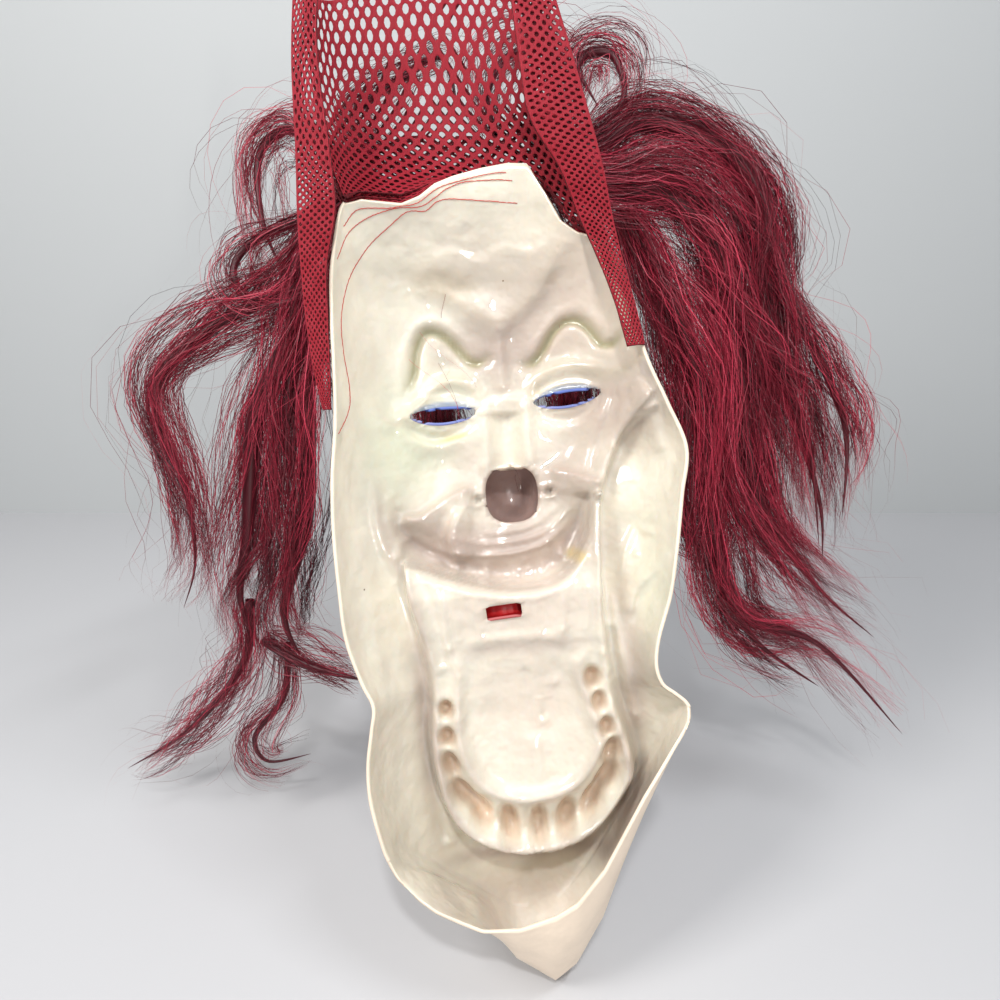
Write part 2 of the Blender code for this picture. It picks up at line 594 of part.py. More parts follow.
def wig_piece(parts, cutters, name, locks, left, mat):
    """Locks fused to each other and to a weft behind the crown."""
    near, far = weft_sheets(left)
    bm = bmesh.new()
    slab(bm, to_metres(*np.moveaxis(near, 2, 0)), to_metres(*np.moveaxis(far, 2, 0)))
    bmesh.ops.recalc_face_normals(bm, faces=bm.faces)
    mesh = bpy.data.meshes.new(name + "_weft")
    bm.to_mesh(mesh)
    bm.free()
    weft = add(cutters, name + "_weft", mesh)
    weft.hide_render = True
    weft.display_type = "WIRE"
    weft.matrix_world = to_world()
    middle = 0.5 * (near + far).reshape(-1, 3)
    bm = bmesh.new()
    for root, body, tip, points in locks:
        rows = np.array(points, dtype=float)
        beside = np.argmin(np.hypot(middle[:, 0] - rows[0, 0], middle[:, 2] - rows[0, 2]))
        if root < WEFT_DEPTH / OUT:
            rows[0] = middle[beside]
        path = spline(rows, 4 * len(rows))
        size = np.interp(np.linspace(0, 1, len(path)), (0, 0.3, 0.5, 1), (root, body, body, tip))
        tube(bm, to_metres(*path.T), 0.5 * size * ACROSS)
    bmesh.ops.recalc_face_normals(bm, faces=bm.faces)
    mesh = bpy.data.meshes.new(name)
    bm.to_mesh(mesh)
    bm.free()
    obj = add(parts, name, mesh, mat)
    obj.matrix_world = to_world()
    fuse = obj.modifiers.new("fuse", "REMESH")
    fuse.mode = "VOXEL"
    fuse.voxel_size = HAIR_GRID
    fewer = obj.modifiers.new("fewer_faces", "DECIMATE")
    fewer.ratio = HAIR_SHARE
    boolean(obj, weft, "UNION")
    return obj


def main():
    for obj in list(bpy.data.objects):
        bpy.data.objects.remove(obj, do_unlink=True)
    parts = bpy.data.collections.new("clown_mask")
    cutters = bpy.data.collections.new("cutters")
    bpy.context.scene.collection.children.link(parts)
    bpy.context.scene.collection.children.link(cutters)
    latex = material("latex", (0.78, 0.74, 0.62), 0.25)
    net = material("red_net", (0.38, 0.01, 0.025), 0.8)
    wig = material("wig_hair", (0.16, 0.012, 0.025), 0.55)
    build_shell(parts, cutters, latex)
    crown = net_crown_points(CROWN_ACROSS, CROWN_UP)
    net_piece(parts, "net_crown", crown, NET_WALL, SEAM_ROWS, net)
    for name, table in (("net_band_left", BAND_LEFT), ("net_band_right", BAND_RIGHT)):
        net_piece(parts, name, band_points(table, 2, BAND_CELLS), BAND_WALL, 0, net)
    wig_piece(parts, cutters, "wig_left", LOCKS_LEFT, True, wig)
    wig_piece(parts, cutters, "wig_right", LOCKS_RIGHT, False, wig)


main()
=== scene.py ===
import json
import math

import bpy
import numpy as np
from mathutils import Matrix, Vector

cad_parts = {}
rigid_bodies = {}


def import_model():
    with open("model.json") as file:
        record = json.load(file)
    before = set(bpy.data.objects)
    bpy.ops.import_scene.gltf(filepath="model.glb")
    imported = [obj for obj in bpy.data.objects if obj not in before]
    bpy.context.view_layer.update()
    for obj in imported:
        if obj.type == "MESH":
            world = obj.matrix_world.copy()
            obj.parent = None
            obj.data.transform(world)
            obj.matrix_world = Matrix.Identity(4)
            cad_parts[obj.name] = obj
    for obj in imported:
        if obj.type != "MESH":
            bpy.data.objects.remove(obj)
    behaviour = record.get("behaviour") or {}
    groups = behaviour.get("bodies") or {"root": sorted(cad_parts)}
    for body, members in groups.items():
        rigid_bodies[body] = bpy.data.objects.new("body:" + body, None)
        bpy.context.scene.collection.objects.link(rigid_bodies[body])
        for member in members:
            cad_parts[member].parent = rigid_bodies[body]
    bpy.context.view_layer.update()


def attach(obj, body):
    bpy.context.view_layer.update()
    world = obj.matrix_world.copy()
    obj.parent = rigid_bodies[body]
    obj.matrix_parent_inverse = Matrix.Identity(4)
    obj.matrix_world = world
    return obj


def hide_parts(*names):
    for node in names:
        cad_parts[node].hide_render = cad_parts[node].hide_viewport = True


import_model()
bpy.ops.object.select_all(action="DESELECT")
print("frame loaded")

# The face is drawn in millimetres on its own upright grid: x across, y outward, z up.
faceFrame = {"lean": 22.0, "roll": 4.5, "hold": (-79.0, -10.0, 208.0), "mm": 0.001}


def toWorld():
    turn = (Matrix.Rotation(math.radians(-faceFrame["lean"]), 4, "X")
            @ Matrix.Rotation(math.radians(-faceFrame["roll"]), 4, "Y"))
    hold = turn @ Matrix.Translation(Vector(faceFrame["hold"]) * faceFrame["mm"])
    return np.array(Matrix.Translation(-hold.translation) @ turn)


def placed(points):  # face millimetres to the row frame in metres
    flat = np.asarray(points, dtype=float) * faceFrame["mm"]
    matrix = toWorld()
    return flat @ matrix[:3, :3].T + matrix[:3, 3]


def smooth(edge, width):
    t = np.clip(edge / (2 * width) + 0.5, 0.0, 1.0)
    return t * t * (3 - 2 * t)


def sample(rows, place):  # rows of a table, read smoothly between them
    rows = np.asarray(rows, dtype=float)
    place = np.clip(place, 0, len(rows) - 1)
    low = np.clip(np.floor(place).astype(int), 0, len(rows) - 2)
    t = (place - low)[..., None]
    before = rows[np.clip(low - 1, 0, None)]
    here = rows[low]
    there = rows[low + 1]
    after = rows[np.clip(low + 2, None, len(rows) - 1)]
    return 0.5 * (2 * here + (there - before) * t + (2 * before - 5 * here + 4 * there - after) * t ** 2
                  + (3 * here - before - 3 * there + after) * t ** 3)


def spline(points, count):
    rows = np.asarray(points, dtype=float)
    return sample(rows, np.linspace(0, len(rows) - 1, count))


def byPlace(table, place, column):
    rows = np.asarray(table, dtype=float)
    order = np.argsort(rows[:, 0])
    return np.interp(place, rows[order, 0], rows[order, column])


def toPath(x, z, path):  # distance, side and share along
    best = np.full(x.shape, 1e9)
    side = np.ones(x.shape)
    share = np.zeros(x.shape)
    for i in range(len(path) - 1):
        dx, dz = path[i + 1] - path[i]
        t = np.clip(((x - path[i, 0]) * dx + (z - path[i, 1]) * dz) / (dx * dx + dz * dz), 0, 1)
        ex = x - path[i, 0] - t * dx
        ez = z - path[i, 1] - t * dz
        dist = np.hypot(ex, ez)
        near = dist < best
        best = np.where(near, dist, best)
        side = np.where(near, (dx * ez - dz * ex) / (math.hypot(dx, dz) * dist + 1e-9), side)
        share = np.where(near, (i + t) / (len(path) - 1), share)
    return best, side, share


def within(x, z, path):
    odd = np.zeros(x.shape, dtype=bool)
    for (ax, az), (bx, bz) in zip(path, np.roll(path, -1, axis=0)):
        across = (az > z) != (bz > z)
        odd ^= across & (x < (bx - ax) * (z - az) / (bz - az + 1e-12) + ax)
    return odd


def fold(x, z, height, left, right, points):  # a rounded ridge along a path
    path = spline(points, 4 * len(points))
    low = path.min(axis=0) - 4 * max(left, right)
    high = path.max(axis=0) + 4 * max(left, right)
    near = (x > low[0]) & (x < high[0]) & (z > low[1]) & (z < high[1])
    out = np.zeros(x.shape)
    dist, side, share = toPath(x[near], z[near], path)
    width = right + (left - right) * 0.5 * (side + 1)
    ends = np.minimum(1.0, np.minimum(share, 1 - share) * 6 + 0.25)
    out[near] = height * ends * np.exp(-(dist / width) ** 2)
    return out


def dent(x, z, cx, cz, halfWide, halfTall, turn, depth, flat=1.0):
    c, s = math.cos(math.radians(turn)), math.sin(math.radians(turn))
    u = ((x - cx) * c + (z - cz) * s) / halfWide
    v = (-(x - cx) * s + (z - cz) * c) / halfTall
    return depth * np.exp(-(u * u + v * v) ** flat)


def applyAll(piece):
    bpy.ops.object.select_all(action="DESELECT")
    piece.select_set(True)
    bpy.context.view_layer.objects.active = piece
    for modifier in list(piece.modifiers):
        bpy.ops.object.modifier_apply(modifier=modifier.name)
    piece.select_set(False)


def gridPiece(name, columns, rows):  # a flat grid, ready to be shaped
    bpy.ops.object.select_all(action="DESELECT")
    bpy.ops.mesh.primitive_grid_add(x_subdivisions=columns, y_subdivisions=rows, size=1)
    piece = bpy.context.active_object
    piece.name = name
    piece.data.name = name
    return piece


def coords(piece):
    co = np.empty(len(piece.data.vertices) * 3, dtype=np.float32)
    piece.data.vertices.foreach_get("co", co)
    return co.reshape(-1, 3).astype(float)


def setCoords(piece, co):
    piece.data.vertices.foreach_set("co", np.asarray(co, dtype=np.float32).ravel())
    piece.data.update()


def pieceOf(name, points, quads):  # a mesh from arrays of places and four-sided faces
    mesh = bpy.data.meshes.new(name)
    mesh.vertices.add(len(points))
    mesh.vertices.foreach_set("co", np.asarray(points, dtype=np.float32).ravel())
    mesh.loops.add(quads.size)
    mesh.loops.foreach_set("vertex_index", np.asarray(quads, dtype=np.int32).ravel())
    mesh.polygons.add(len(quads))
    mesh.polygons.foreach_set("loop_start", np.arange(0, quads.size, 4, dtype=np.int32))
    mesh.update(calc_edges=True)
    mesh.validate()
    piece = bpy.data.objects.new(name, mesh)
    bpy.context.scene.collection.objects.link(piece)
    return piece


def smoothShade(piece):
    piece.data.polygons.foreach_set("use_smooth", np.ones(len(piece.data.polygons), dtype=bool))
    piece.data.update()


def fixed(piece, slot, *nodes):  # rides and stands for its nodes; slot is not used
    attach(piece, "root")
    if nodes:
        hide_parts(*nodes)


def newMaterial(name, colour, roughness):
    material = bpy.data.materials.new(name)
    material.use_nodes = True
    shader = material.node_tree.nodes["Principled BSDF"]
    shader.inputs["Base Color"].default_value = (*colour, 1.0)
    shader.inputs["Roughness"].default_value = roughness
    return material, shader


def addNode(material, kind, **values):
    node = material.node_tree.nodes.new(kind)
    for name, value in values.items():
        if name in node.inputs:
            node.inputs[name].default_value = value
        else:
            setattr(node, name, value)
    return node


def join(material, a, out, b, into):
    material.node_tree.links.new(a.outputs[out], b.inputs[into])


# The latex mask. Sections run from the forehead down to the chin and back up its near wall:
# left x, left z, right x, right z, depth at left, middle and right, sag, share of chin tip and rim.
maskShape = {"columns": 132, "rows": 360, "wall": 1.6, "fullAngle": 84.0}
foreheadEdge = (
    (-74, 104), (-66, 107), (-46, 104), (-36, 108), (-28, 114), (-19, 117),
    (-4, 120), (10, 121.5), (20, 120.5), (23, 114), (28, 104), (34, 90),
    (43, 82), (57, 76),
)
sections = (
    (-74, 104, 57, 76, 5, 12, 8, 0, 0, 0),
    (-81.5, 74, 61.5, 59, 2, 40, 3, -4, 0, 0),
    (-83.5, 46, 66, 36, 0, 47, 1, -2, 0, 0),
    (-84.5, 19, 71, 13, 0, 48, 0, 0, 0, 0),
    (-86, -8, 79.5, -10, 0, 46, 0, 0, 0, 0),
    (-89.5, -34, 87, -33, 0, 46, 0, 0, 0, 0),
    (-91, -62, 83, -56, 0, 45, 0, 0, 0, 0),
    (-90.5, -90, 78.5, -82, 0, 42, 0, 0, 0, 0),
    (-89, -115, 73.5, -105, 0, 41, 0, 0, 0, 0),
    (-83, -137, 66, -126, 0, 43, 0, 0, 0, 0),
    (-78, -150, 63.5, -140, 0, 46, 0, 0, 0, 0),
    (-80, -163, 66, -150, 0, 50, 0, 5, 0, 0),
    (-83, -180, 72, -155.5, 0, 54, 0, 14, 0, 0),
    (-83, -198, 76, -159, 0, 58, 0, 34, 0, 0),
    (-79, -219, 77.5, -161, 0, 61, 0, 62, 0.0, 0),
    (-76.5, -227, 78, -162, 0, 58, 0, 60, 0.28, 0),
    (-74, -233, 78, -163, 0, 36, 0, 0, 1, 0),
    (-71.5, -237, 77.5, -166.5, -1, 6, -2, 0, 0.5, 0.5),
    (-68, -241.5, 76, -170, -2, -9, -3, 0, 0, 1),
)
chin = (
    (-1.0, 0, 0), (-0.8, 20, 17), (-0.5, 52, 37), (-0.25, 92, 46), (0.0, 115, 50),
    (0.15, 112, 50), (0.35, 95, 42), (0.65, 51, 20), (0.9, 14, 5), (1.0, 0, 0),
)
mouthOutline = (
    (-60, -82), (-41, -90), (-21, -97), (-1, -100), (17, -98), (29, -89), (39, -72),
    (45, -52), (42, -86), (41, -120), (43, -155), (50, -184), (53, -200), (50, -213),
    (40, -227), (26, -237), (9, -243), (-8, -244), (-22, -241), (-36, -233),
    (-46, -221), (-51, -203), (-53, -177), (-50, -152), (-52, -128), (-58, -102),
)
mouthDepth = ((-50, 20), (-84, 14), (-100, 13), (-125, 20), (-150, 25), (-190, 27), (-245, 31))
# Folds: height, widths of the two sides, path.
folds = {
    "brow_left": (4.5, 2.6, 2.6, ((-54, 13), (-50, 22), (-48, 34), (-44, 43), (-38, 45.5),
                                  (-30, 41), (-20, 29.5), (-14, 26.5), (-8.5, 29.5))),
    "brow_right": (4.5, 2.6, 2.6, ((11, 24), (17, 24), (23, 30), (29, 39), (36, 43.8),
                                   (43, 43), (49, 37), (54, 29), (60, 27.5), (63.5, 32))),
    "frown": (-6, 6, 18, ((41, 86), (25, 66), (15, 56), (3, 48.5), (-8, 50.5), (-20, 60),
                          (-31, 67), (-48, 68))),
    "glabella": (-2.5, 5, 5, ((-1, 46), (-2, 30), (-2, 8))),
    "lid_crease_left": (-3, 4, 5, ((-70, 4), (-62, -5), (-50, 2), (-40, 12), (-30, 17.5), (-20, 14),
                                   (-13, 3))),
    "lid_left": (2.5, 5, 4, ((-52, 1), (-42, 8), (-30, 11), (-18, 5))),
    "under_left": (3.5, 3, 3.5, ((-57, -6), (-48, -12), (-38, -14), (-27, -11), (-19, -4))),
    "bag_left": (-2.2, 2.5, 5, ((-60, -8), (-50, -16), (-38, -19), (-25, -14))),
    "lid_crease_right": (-3, 4, 5, ((12, 6), (20, 15), (34, 20), (48, 16), (62, 12), (74, 18))),
    "lid_right": (2.5, 5, 4, ((17, 6), (28, 12), (40, 13), (52, 8))),
    "under_right": (3, 3, 3.5, ((16, -1), (24, -7), (36, -9), (47, -4), (54, 4))),
    "bridge": (9, 7.5, 8.5, ((-1, -2), (-1, -12), (-1, -24), (-1, -36))),
    "bridge_line": (-1.5, 2, 4, ((-10, 3), (0, 4), (9, 4))),
    "cheek_line_left": (-5, 12, 2.5, ((-22, -44), (-32, -46), (-42, -52), (-52, -58), (-62, -57))),
    "cheek_line_right": (-4, 2.5, 12, ((22, -38), (30, -38), (40, -43), (48, -46))),
    "lip_plate": (-5, 14, 2.5, ((-30, -54), (-36, -64), (-37, -76), (-33, -86))),
    "upper_gum": (7, 7, 7, ((-66, -56), (-56, -72), (-40, -83), (-18, -91), (4, -92),
                            (22, -86), (34, -70), (42, -50))),
    "jaw_left": (-4, 5, 5, ((-73, -36), (-72, -58), (-68, -76), (-60, -92), (-55, -108),
                            (-52, -128), (-50, -148))),
    "side_bead_left": (-3, 2.5, 2.5, ((-66, -42), (-68, -56), (-64, -70), (-65, -80))),
    "jaw_right": (-4, 3, 3, ((45, -54), (42, -80), (41, -106), (42, -134), (46, -156))),
    "jaw_right_outer": (-3, 2.5, 2.5, ((48, -106), (50, -130), (55, -160), (58, -180))),
    "tongue_root": (-2, 3, 4, ((-30, -126), (-14, -124), (4, -124), (24, -127))),
    "tongue_rim": (-5, 4, 4, ((-34, -134), (-38, -152), (-39, -175), (-35, -192), (-26, -205),
                              (-12, -212), (4, -212), (18, -208), (29, -198), (35, -185),
                              (34, -171), (29, -155), (26, -143), (32, -136))),
    "tongue_line": (1.6, 2.5, 2.5, ((-2, -140), (-1, -160), (-1, -182))),
    "tongue_fold": (-1.4, 2, 2, ((-1, -178), (2, -192), (4, -204))),
    "gum": (-4, 4, 3, ((-49, -150), (-52, -177), (-50, -203), (-44, -222), (-35, -233),
                       (-21, -240), (-7, -243), (10, -241), (27, -235), (40, -225),
                       (50, -211), (51, -198), (48, -184), (43, -165))),
    "cheek_fold": (-9, 2.5, 16, ((77, -8), (64, -15), (55, -30), (48, -46), (45, -56))),
    "rim_roll_right": (-4, 3, 4, ((67, 6), (74, -12), (79, -34))),
    "cheek_dent": (-3.5, 3, 5, ((79, -84), (70, -93), (60, -104), (56, -118))),
    "cheek_ripple": (2.5, 5, 5, ((76, -100), (66, -110), (60, -124))),
    "wall_ripple_left": (-2.5, 4, 6, ((-84, -60), (-80, -92), (-78, -120), (-76, -146))),
    "chin_swell": (-3, 9, 9, ((-66, -222), (-50, -246), (-20, -262), (16, -262))),
}
dents = (
    (-32, 24, 9, 7, -40, 3.0), (35, 26, 11, 6, 20, 3.0),
    (-38, -28, 18, 14, 10, 5.0), (37, -24, 17, 13, -10, 5.0),
    (-66, 14, 9, 20, 0, 3.0), (64, -28, 8, 12, 30, 5.0),
    (-20, -50, 3, 3, 0, 4.0), (21, -48.5, 3, 3, 0, 4.0),
    (-14, -168, 14, 26, 0, 5.0), (14, -168, 14, 26, 0, 5.0),
    (-28, 68, 16, 8, -10, 4.0), (40, 66, 10, 14, 20, -4.0),
    (0, 92, 34, 16, 0, 3.0), (66, -72, 9, 12, 0, 4.0),
    (72, -150, 6, 6, 0, 4.0),
)
teeth = (
    (-45, -161, 4.0, 4.5, 0, 9), (-45.5, -176, 4.5, 5.0, 0, 9),
    (-45, -192, 4.5, 7.5, 20, 11), (-40, -208, 5.0, 9.0, 35, 12),
    (-30, -220, 5.4, 10.0, 25, 13), (-15.5, -228, 5.6, 10.5, 8, 14),
    (0, -229.5, 5.6, 10.5, -2, 14), (15, -226.5, 5.6, 10.5, -12, 14),
    (29, -218.5, 5.4, 10.0, -28, 13), (38.5, -205, 5.0, 9.5, -38, 12),
    (42, -191, 4.4, 7.5, -24, 11), (40, -177, 4.2, 5.0, -8, 9), (37, -163, 4.0, 5.0, 0, 9),
    (34.5, -150, 4.2, 5.5, 0, 9),
)
upperTeeth = ((-34, -88, 2.0), (-19, -92, 3.0), (-3, -94, 3.5), (13, -91, 3.0), (24, -84, 2.5))
eyes = ((-35, -1.6, 2.5), (34, 2.4, 3.0))
slot = (-9.8, -109.8, 4.0)
nose = (-0.5, -49.0)

eyeSize = {"long": 37.0, "tall": 13.5, "above": 0.56, "below": 0.44, "open": 0.33, "snap": 1.25}
slotSize = {"long": 18.5, "tall": 7.8, "snap": 1.2}
noseSize = {"radius": 15.2, "deep": 25.8, "wide": 14.6, "tall": 15.6, "square": 2.7, "snap": 1.15}

# Finer relief that the solid part leaves out.
fineFolds = {
    "nostril_ring_left": (-2.4, 1.6, 1.6, ((-15.5, -50), (-18, -47.5), (-21.5, -48.5), (-23, -51),
                                           (-21, -53.5),
                                           (-17.5, -54))),
    "nostril_ring_right": (-2.4, 1.6, 1.6, ((16, -48), (19, -45.5), (22.5, -46), (24.5, -48.5), (22, -51.5),
                                            (18.5, -52))),
    "bridge_left": (-3.0, 1.6, 4.0, ((-10.5, 2), (-11, -12), (-11.5, -26), (-13, -36))),
    "bridge_right": (-3.0, 4.0, 1.6, ((9, 3), (9.5, -10), (9, -24), (11, -34))),
    "jaw_left_second": (-1.8, 2.0, 2.0, ((-45, -92), (-42, -106), (-41, -124), (-38, -140))),
    "throat_a": (-1.0, 2.0, 2.0, ((-38, -98), (-36, -112), (-35, -126))),
    "throat_b": (-1.2, 2.0, 2.0, ((-26, -101), (-24, -114), (-24, -124))),
    "throat_c": (-1.0, 2.0, 2.0, ((6, -103), (7, -112), (7, -123))),
    "throat_d": (-1.2, 2.2, 2.2, ((22, -101), (21, -112), (20, -124))),
    "throat_e": (-1.0, 2.0, 2.0, ((33, -92), (34, -108), (33, -124))),
    "throat_ridge": (-1.4, 1.6, 2.6, ((-52, -90), (-40, -94), (-22, -100), (-2, -103), (16, -101),
                                      (28, -93),
                                      (38, -76))),
    "forehead_wave": (-0.9, 2.2, 3.6, ((-32, 80), (-22, 84), (-8, 78), (4, 84), (20, 80), (32, 84))),
    "forehead_strip": (-1.0, 3.0, 3.0, ((24, 66), (29, 72), (33, 78))),
    "forehead_ring": (-0.9, 3.5, 3.5, ((-24, 92), (-16, 97), (-8, 94), (-14, 88), (-24, 92))),
    "cheek_vein_left": (-0.8, 2.5, 2.5, ((-78, -30), (-72, -44), (-74, -62), (-70, -78))),
    "chin_line_a": (-1.0, 3.0, 3.0, ((-58, -232), (-36, -248), (-8, -254), (22, -250), (44, -238))),
    "chin_line_b": (-1.2, 4.0, 4.0, ((-62, -246), (-40, -264), (-10, -274), (24, -268), (46, -252))),
    "tongue_drip": (-1.0, 2.0, 2.0, ((5, -158), (4, -166), (5, -176))),
    "gum_step": (-1.4, 1.6, 1.6, ((-50, -186), (-46, -208), (-35, -227), (-18, -236), (0, -239), (20, -235),
                                  (36, -226), (47, -208), (50, -190))),
    "smile_left": (-1.2, 1.5, 3.0, ((-26, -60), (-29, -72), (-27, -82))),
    "lid_edge_left": (-1.2, 1.4, 1.4, ((-54, -3), (-46, 5.5), (-36, 8.6), (-26, 7.0), (-17, 1.5))),
    "lid_edge_right": (-1.2, 1.4, 1.4, ((16, 1), (24, 8.5), (34, 11.2), (44, 9.8), (53, 4))),
    "brow_lip_left": (-0.9, 2.4, 2.4, ((-58, 20), (-54, 34), (-47, 47), (-37, 51), (-27, 46), (-17, 35))),
    "brow_lip_right": (-0.9, 2.4, 2.4, ((15, 30), (24, 40), (34, 49.5), (45, 49), (54, 38), (62, 34))),
    "rim_crease_right": (-1.2, 1.8, 1.8, ((75, -62), (66, -70), (58, -84), (54, -98))),
    "palate_a": (-1.6, 1.8, 1.8, ((-58, -66), (-44, -76), (-26, -81), (-4, -82), (16, -77), (30, -66))),
    "palate_b": (-1.3, 1.5, 1.5, ((-34, -70), (-18, -75), (2, -75), (18, -70), (32, -58))),
    "palate_c": (-1.0, 1.3, 1.3, ((-20, -69), (-4, -70), (12, -66), (26, -56))),
    "lip_left_edge": (-2.4, 5.0, 1.4, ((-27, -53), (-33, -62), (-36, -72), (-33, -84))),
    "cheek_edge_left": (-2.6, 7.0, 1.2, ((-23, -44), (-32, -46.5), (-42, -52.5), (-52, -58), (-62, -57))),
    "cheek_edge_right": (-2.2, 1.2, 7.0, ((23, -38), (30, -38.5), (40, -43), (48, -46))),
    "cheek_lobe": (-5.0, 1.4, 12.0, ((76, 0), (66, -11), (57, -24), (50, -40), (46, -54))),
    "lobe_valley": (4.0, 5.0, 2.5, ((60, 4), (54, -12), (47, -28), (42, -44))),
    "flap_fold": (-1.0, 4.0, 4.0, ((70, -190), (52, -214), (38, -240))),
}

# Pimples and small pits: x, z, radius, height toward the viewer.
pimples = ((57, -28, 2.4, 2.2), (48, -54, 2.2, 2.0), (47, -122, 2.4, 2.2), (70, -74, 2.6, 2.6),
           (63, -86, 1.8, 1.6), (14, -151, 2.6, 1.8), (8, -172, 2.2, 1.4), (19, -122, 2.4, 1.8),
           (-50, -240, 3.4, 2.6), (-62, -60, 2.2, 1.8), (-61, -70, 2.2, 2.0), (-63, -50, 2.0, 1.6),
           (-20, -50, 2.0, -3.0), (21, -48.5, 2.0, -3.0), (-34, -88, 1.8, 1.2), (4, -92, 2.4, 1.6),
           (24, -85, 2.6, 1.8), (-40, -128, 2.4, 1.4), (-44, -138, 2.6, 1.6), (40, -136, 2.6, 1.6))


def faceGrid(across, row):
    last = len(sections) - 1
    angle, row = np.meshgrid(across, np.clip(row, 0, last))
    full = math.radians(maskShape["fullAngle"])
    angle = angle * full
    reach = np.sign(angle) * np.abs(np.sin(angle) / math.sin(full)) ** 0.8
    bow = (np.cos(angle) - math.cos(full)) / (1 - math.cos(full))
    lx, lz, rx, rz, ly, my, ry, sag, tip, rim = np.moveaxis(sample(sections, row), 2, 0)
    half = 0.5 * (reach + 1)
    x = lx + (rx - lx) * half
    chord = lz + (rz - lz) * half
    z = chord - sag * (1 - reach ** 2) - tip * byPlace(chin, reach, 1) - rim * byPlace(chin, reach, 2)
    z = z + (byPlace(foreheadEdge, x, 1) - chord) * np.clip(1 - row, 0, 1) ** 2
    side = ly + (ry - ly) * half
    y = side + (my - side) * np.abs(bow) ** np.where(row > 15, 1.3, 0.9)
    return x, y, z, row


def mouthBlock(x, z, y):
    path = spline(mouthOutline + mouthOutline[:1], 4 * len(mouthOutline))
    dist = toPath(x, z, path)[0]
    inside = np.where(within(x, z, path), dist, -dist)
    block = byPlace(mouthDepth, z, 1)
    wide = 2.0 + 2.5 * np.clip((-95 - z) / 30, 0, 1)
    return y + (np.minimum(block, y) - y) * smooth(inside + wide * 0.6, wide)


def noseReach(x, z):  # 1 on the edge of the nose's own mouth, a rounded square
    across = np.abs(x - nose[0]) / noseSize["wide"]
    up = np.abs(z - nose[1]) / noseSize["tall"]
    return (across ** noseSize["square"] + up ** noseSize["square"]) ** (1 / noseSize["square"])


def noseSwell(x, y, z):  # a round nose behind a smaller mouth
    reach = noseReach(x, z)
    turn = math.pi - math.asin(noseSize["wide"] / noseSize["radius"])
    angle = np.clip(reach, 0, 1) * turn
    inner = (reach < 1) & (reach > 1e-6)
    grow = np.where(inner, np.sin(angle) / np.maximum(reach * math.sin(turn), 1e-6), 1.0)
    deep = noseSize["deep"] * (np.cos(angle) - math.cos(turn))
    y = np.where(reach < 1, y + deep, y)
    return nose[0] + (x - nose[0]) * grow, y, nose[1] + (z - nose[1]) * grow


def noseEdge(count=60):
    a = np.linspace(0, 2 * math.pi, count, endpoint=False)
    power = 2 / noseSize["square"]
    u = noseSize["wide"] * np.sign(np.cos(a)) * np.abs(np.cos(a)) ** power
    v = noseSize["tall"] * np.sign(np.sin(a)) * np.abs(np.sin(a)) ** power
    return np.stack([nose[0] + u, nose[1] + v], axis=1)


def facePoints(across, row, fine):  # inner skin; with fine, the small relief as well
    x, y, z, row = faceGrid(across, row)
    before = y.copy()
    y = mouthBlock(x, z, y)
    for height, left, right, points in folds.values():
        y = y + fold(x, z, height, left, right, points)
    for spot in dents:
        y = y + dent(x, z, *spot)
    for spot in teeth:
        y = y + dent(x, z, *spot, flat=1.6)
    for cx, cz, height in upperTeeth:
        y = y - dent(x, z, cx, cz, 2.2, 5, 0, height)
    if fine:
        for height, left, right, points in fineFolds.values():
            y = y + fold(x, z, height, left, right, points)
        for cx, cz, radius, height in pimples:
            y = y - dent(x, z, cx, cz, radius, radius, 0, height)
    rim = np.clip(10 * (1 - np.abs(across)), 0, 1)[None, :]
    edge = np.clip(row * 2.5, 0, 1)
    y = before + (y - before) * smooth(14.4 - row, 0.5) * rim * edge
    if fine:
        onto, nearX, nearZ = snap((x, z), noseEdge(), noseSize["snap"])[1:]
        x = np.where(onto, nearX, x)
        z = np.where(onto, nearZ, z)
    flat = (x, z)
    x, y, z = noseSwell(x, y, z)
    return np.stack([x, y, z], axis=-1), flat


def evenRows(count):  # section numbers spaced by their length down the middle
    row = np.linspace(0, len(sections) - 1, 900)
    points = facePoints(np.array([-0.35, 0.35]), row, False)[0]
    step = np.linalg.norm(np.diff(points, axis=0), axis=2).mean(axis=1)
    along = np.concatenate([[0], np.cumsum(step)])
    return np.interp(np.linspace(0, along[-1], count), along, row)


def almond(turn, x, z, above, count=48):
    a = np.linspace(0, 2 * math.pi, count, endpoint=False)
    share = np.where(np.sin(a) > 0, above, eyeSize["below"])
    u = eyeSize["long"] / 2 * np.cos(a)
    v = share * eyeSize["tall"] * np.sign(np.sin(a)) * np.abs(np.sin(a)) ** 1.3
    return turned(u, v, turn, x, z)


def turned(u, v, turn, x, z):
    c, s = math.cos(math.radians(turn)), math.sin(math.radians(turn))
    return np.stack([x + u * c - v * s, z + u * s + v * c], axis=1)


def oblong(turn, x, z):
    a, b = slotSize["long"] / 2, slotSize["tall"] / 2
    u, v = np.array([(-a, -b), (a, -b), (a, b), (-a, b)]).T
    return turned(u, v, turn, x, z)


def snap(flat, outline, reach):  # moves near places onto a closed outline, and says which lie inside
    path = np.vstack([outline, outline[:1]])
    x, z = flat
    best = np.full(x.shape, 1e9)
    nearX, nearZ = x.copy(), z.copy()
    for a, b in zip(path, path[1:]):
        d = b - a
        t = np.clip(((x - a[0]) * d[0] + (z - a[1]) * d[1]) / (d @ d), 0, 1)
        px, pz = a[0] + t * d[0], a[1] + t * d[1]
        dist = np.hypot(x - px, z - pz)
        closer = dist < best
        best = np.where(closer, dist, best)
        nearX, nearZ = np.where(closer, px, nearX), np.where(closer, pz, nearZ)
    inside = within(x, z, outline)
    onto = best < reach
    return inside, onto, nearX, nearZ
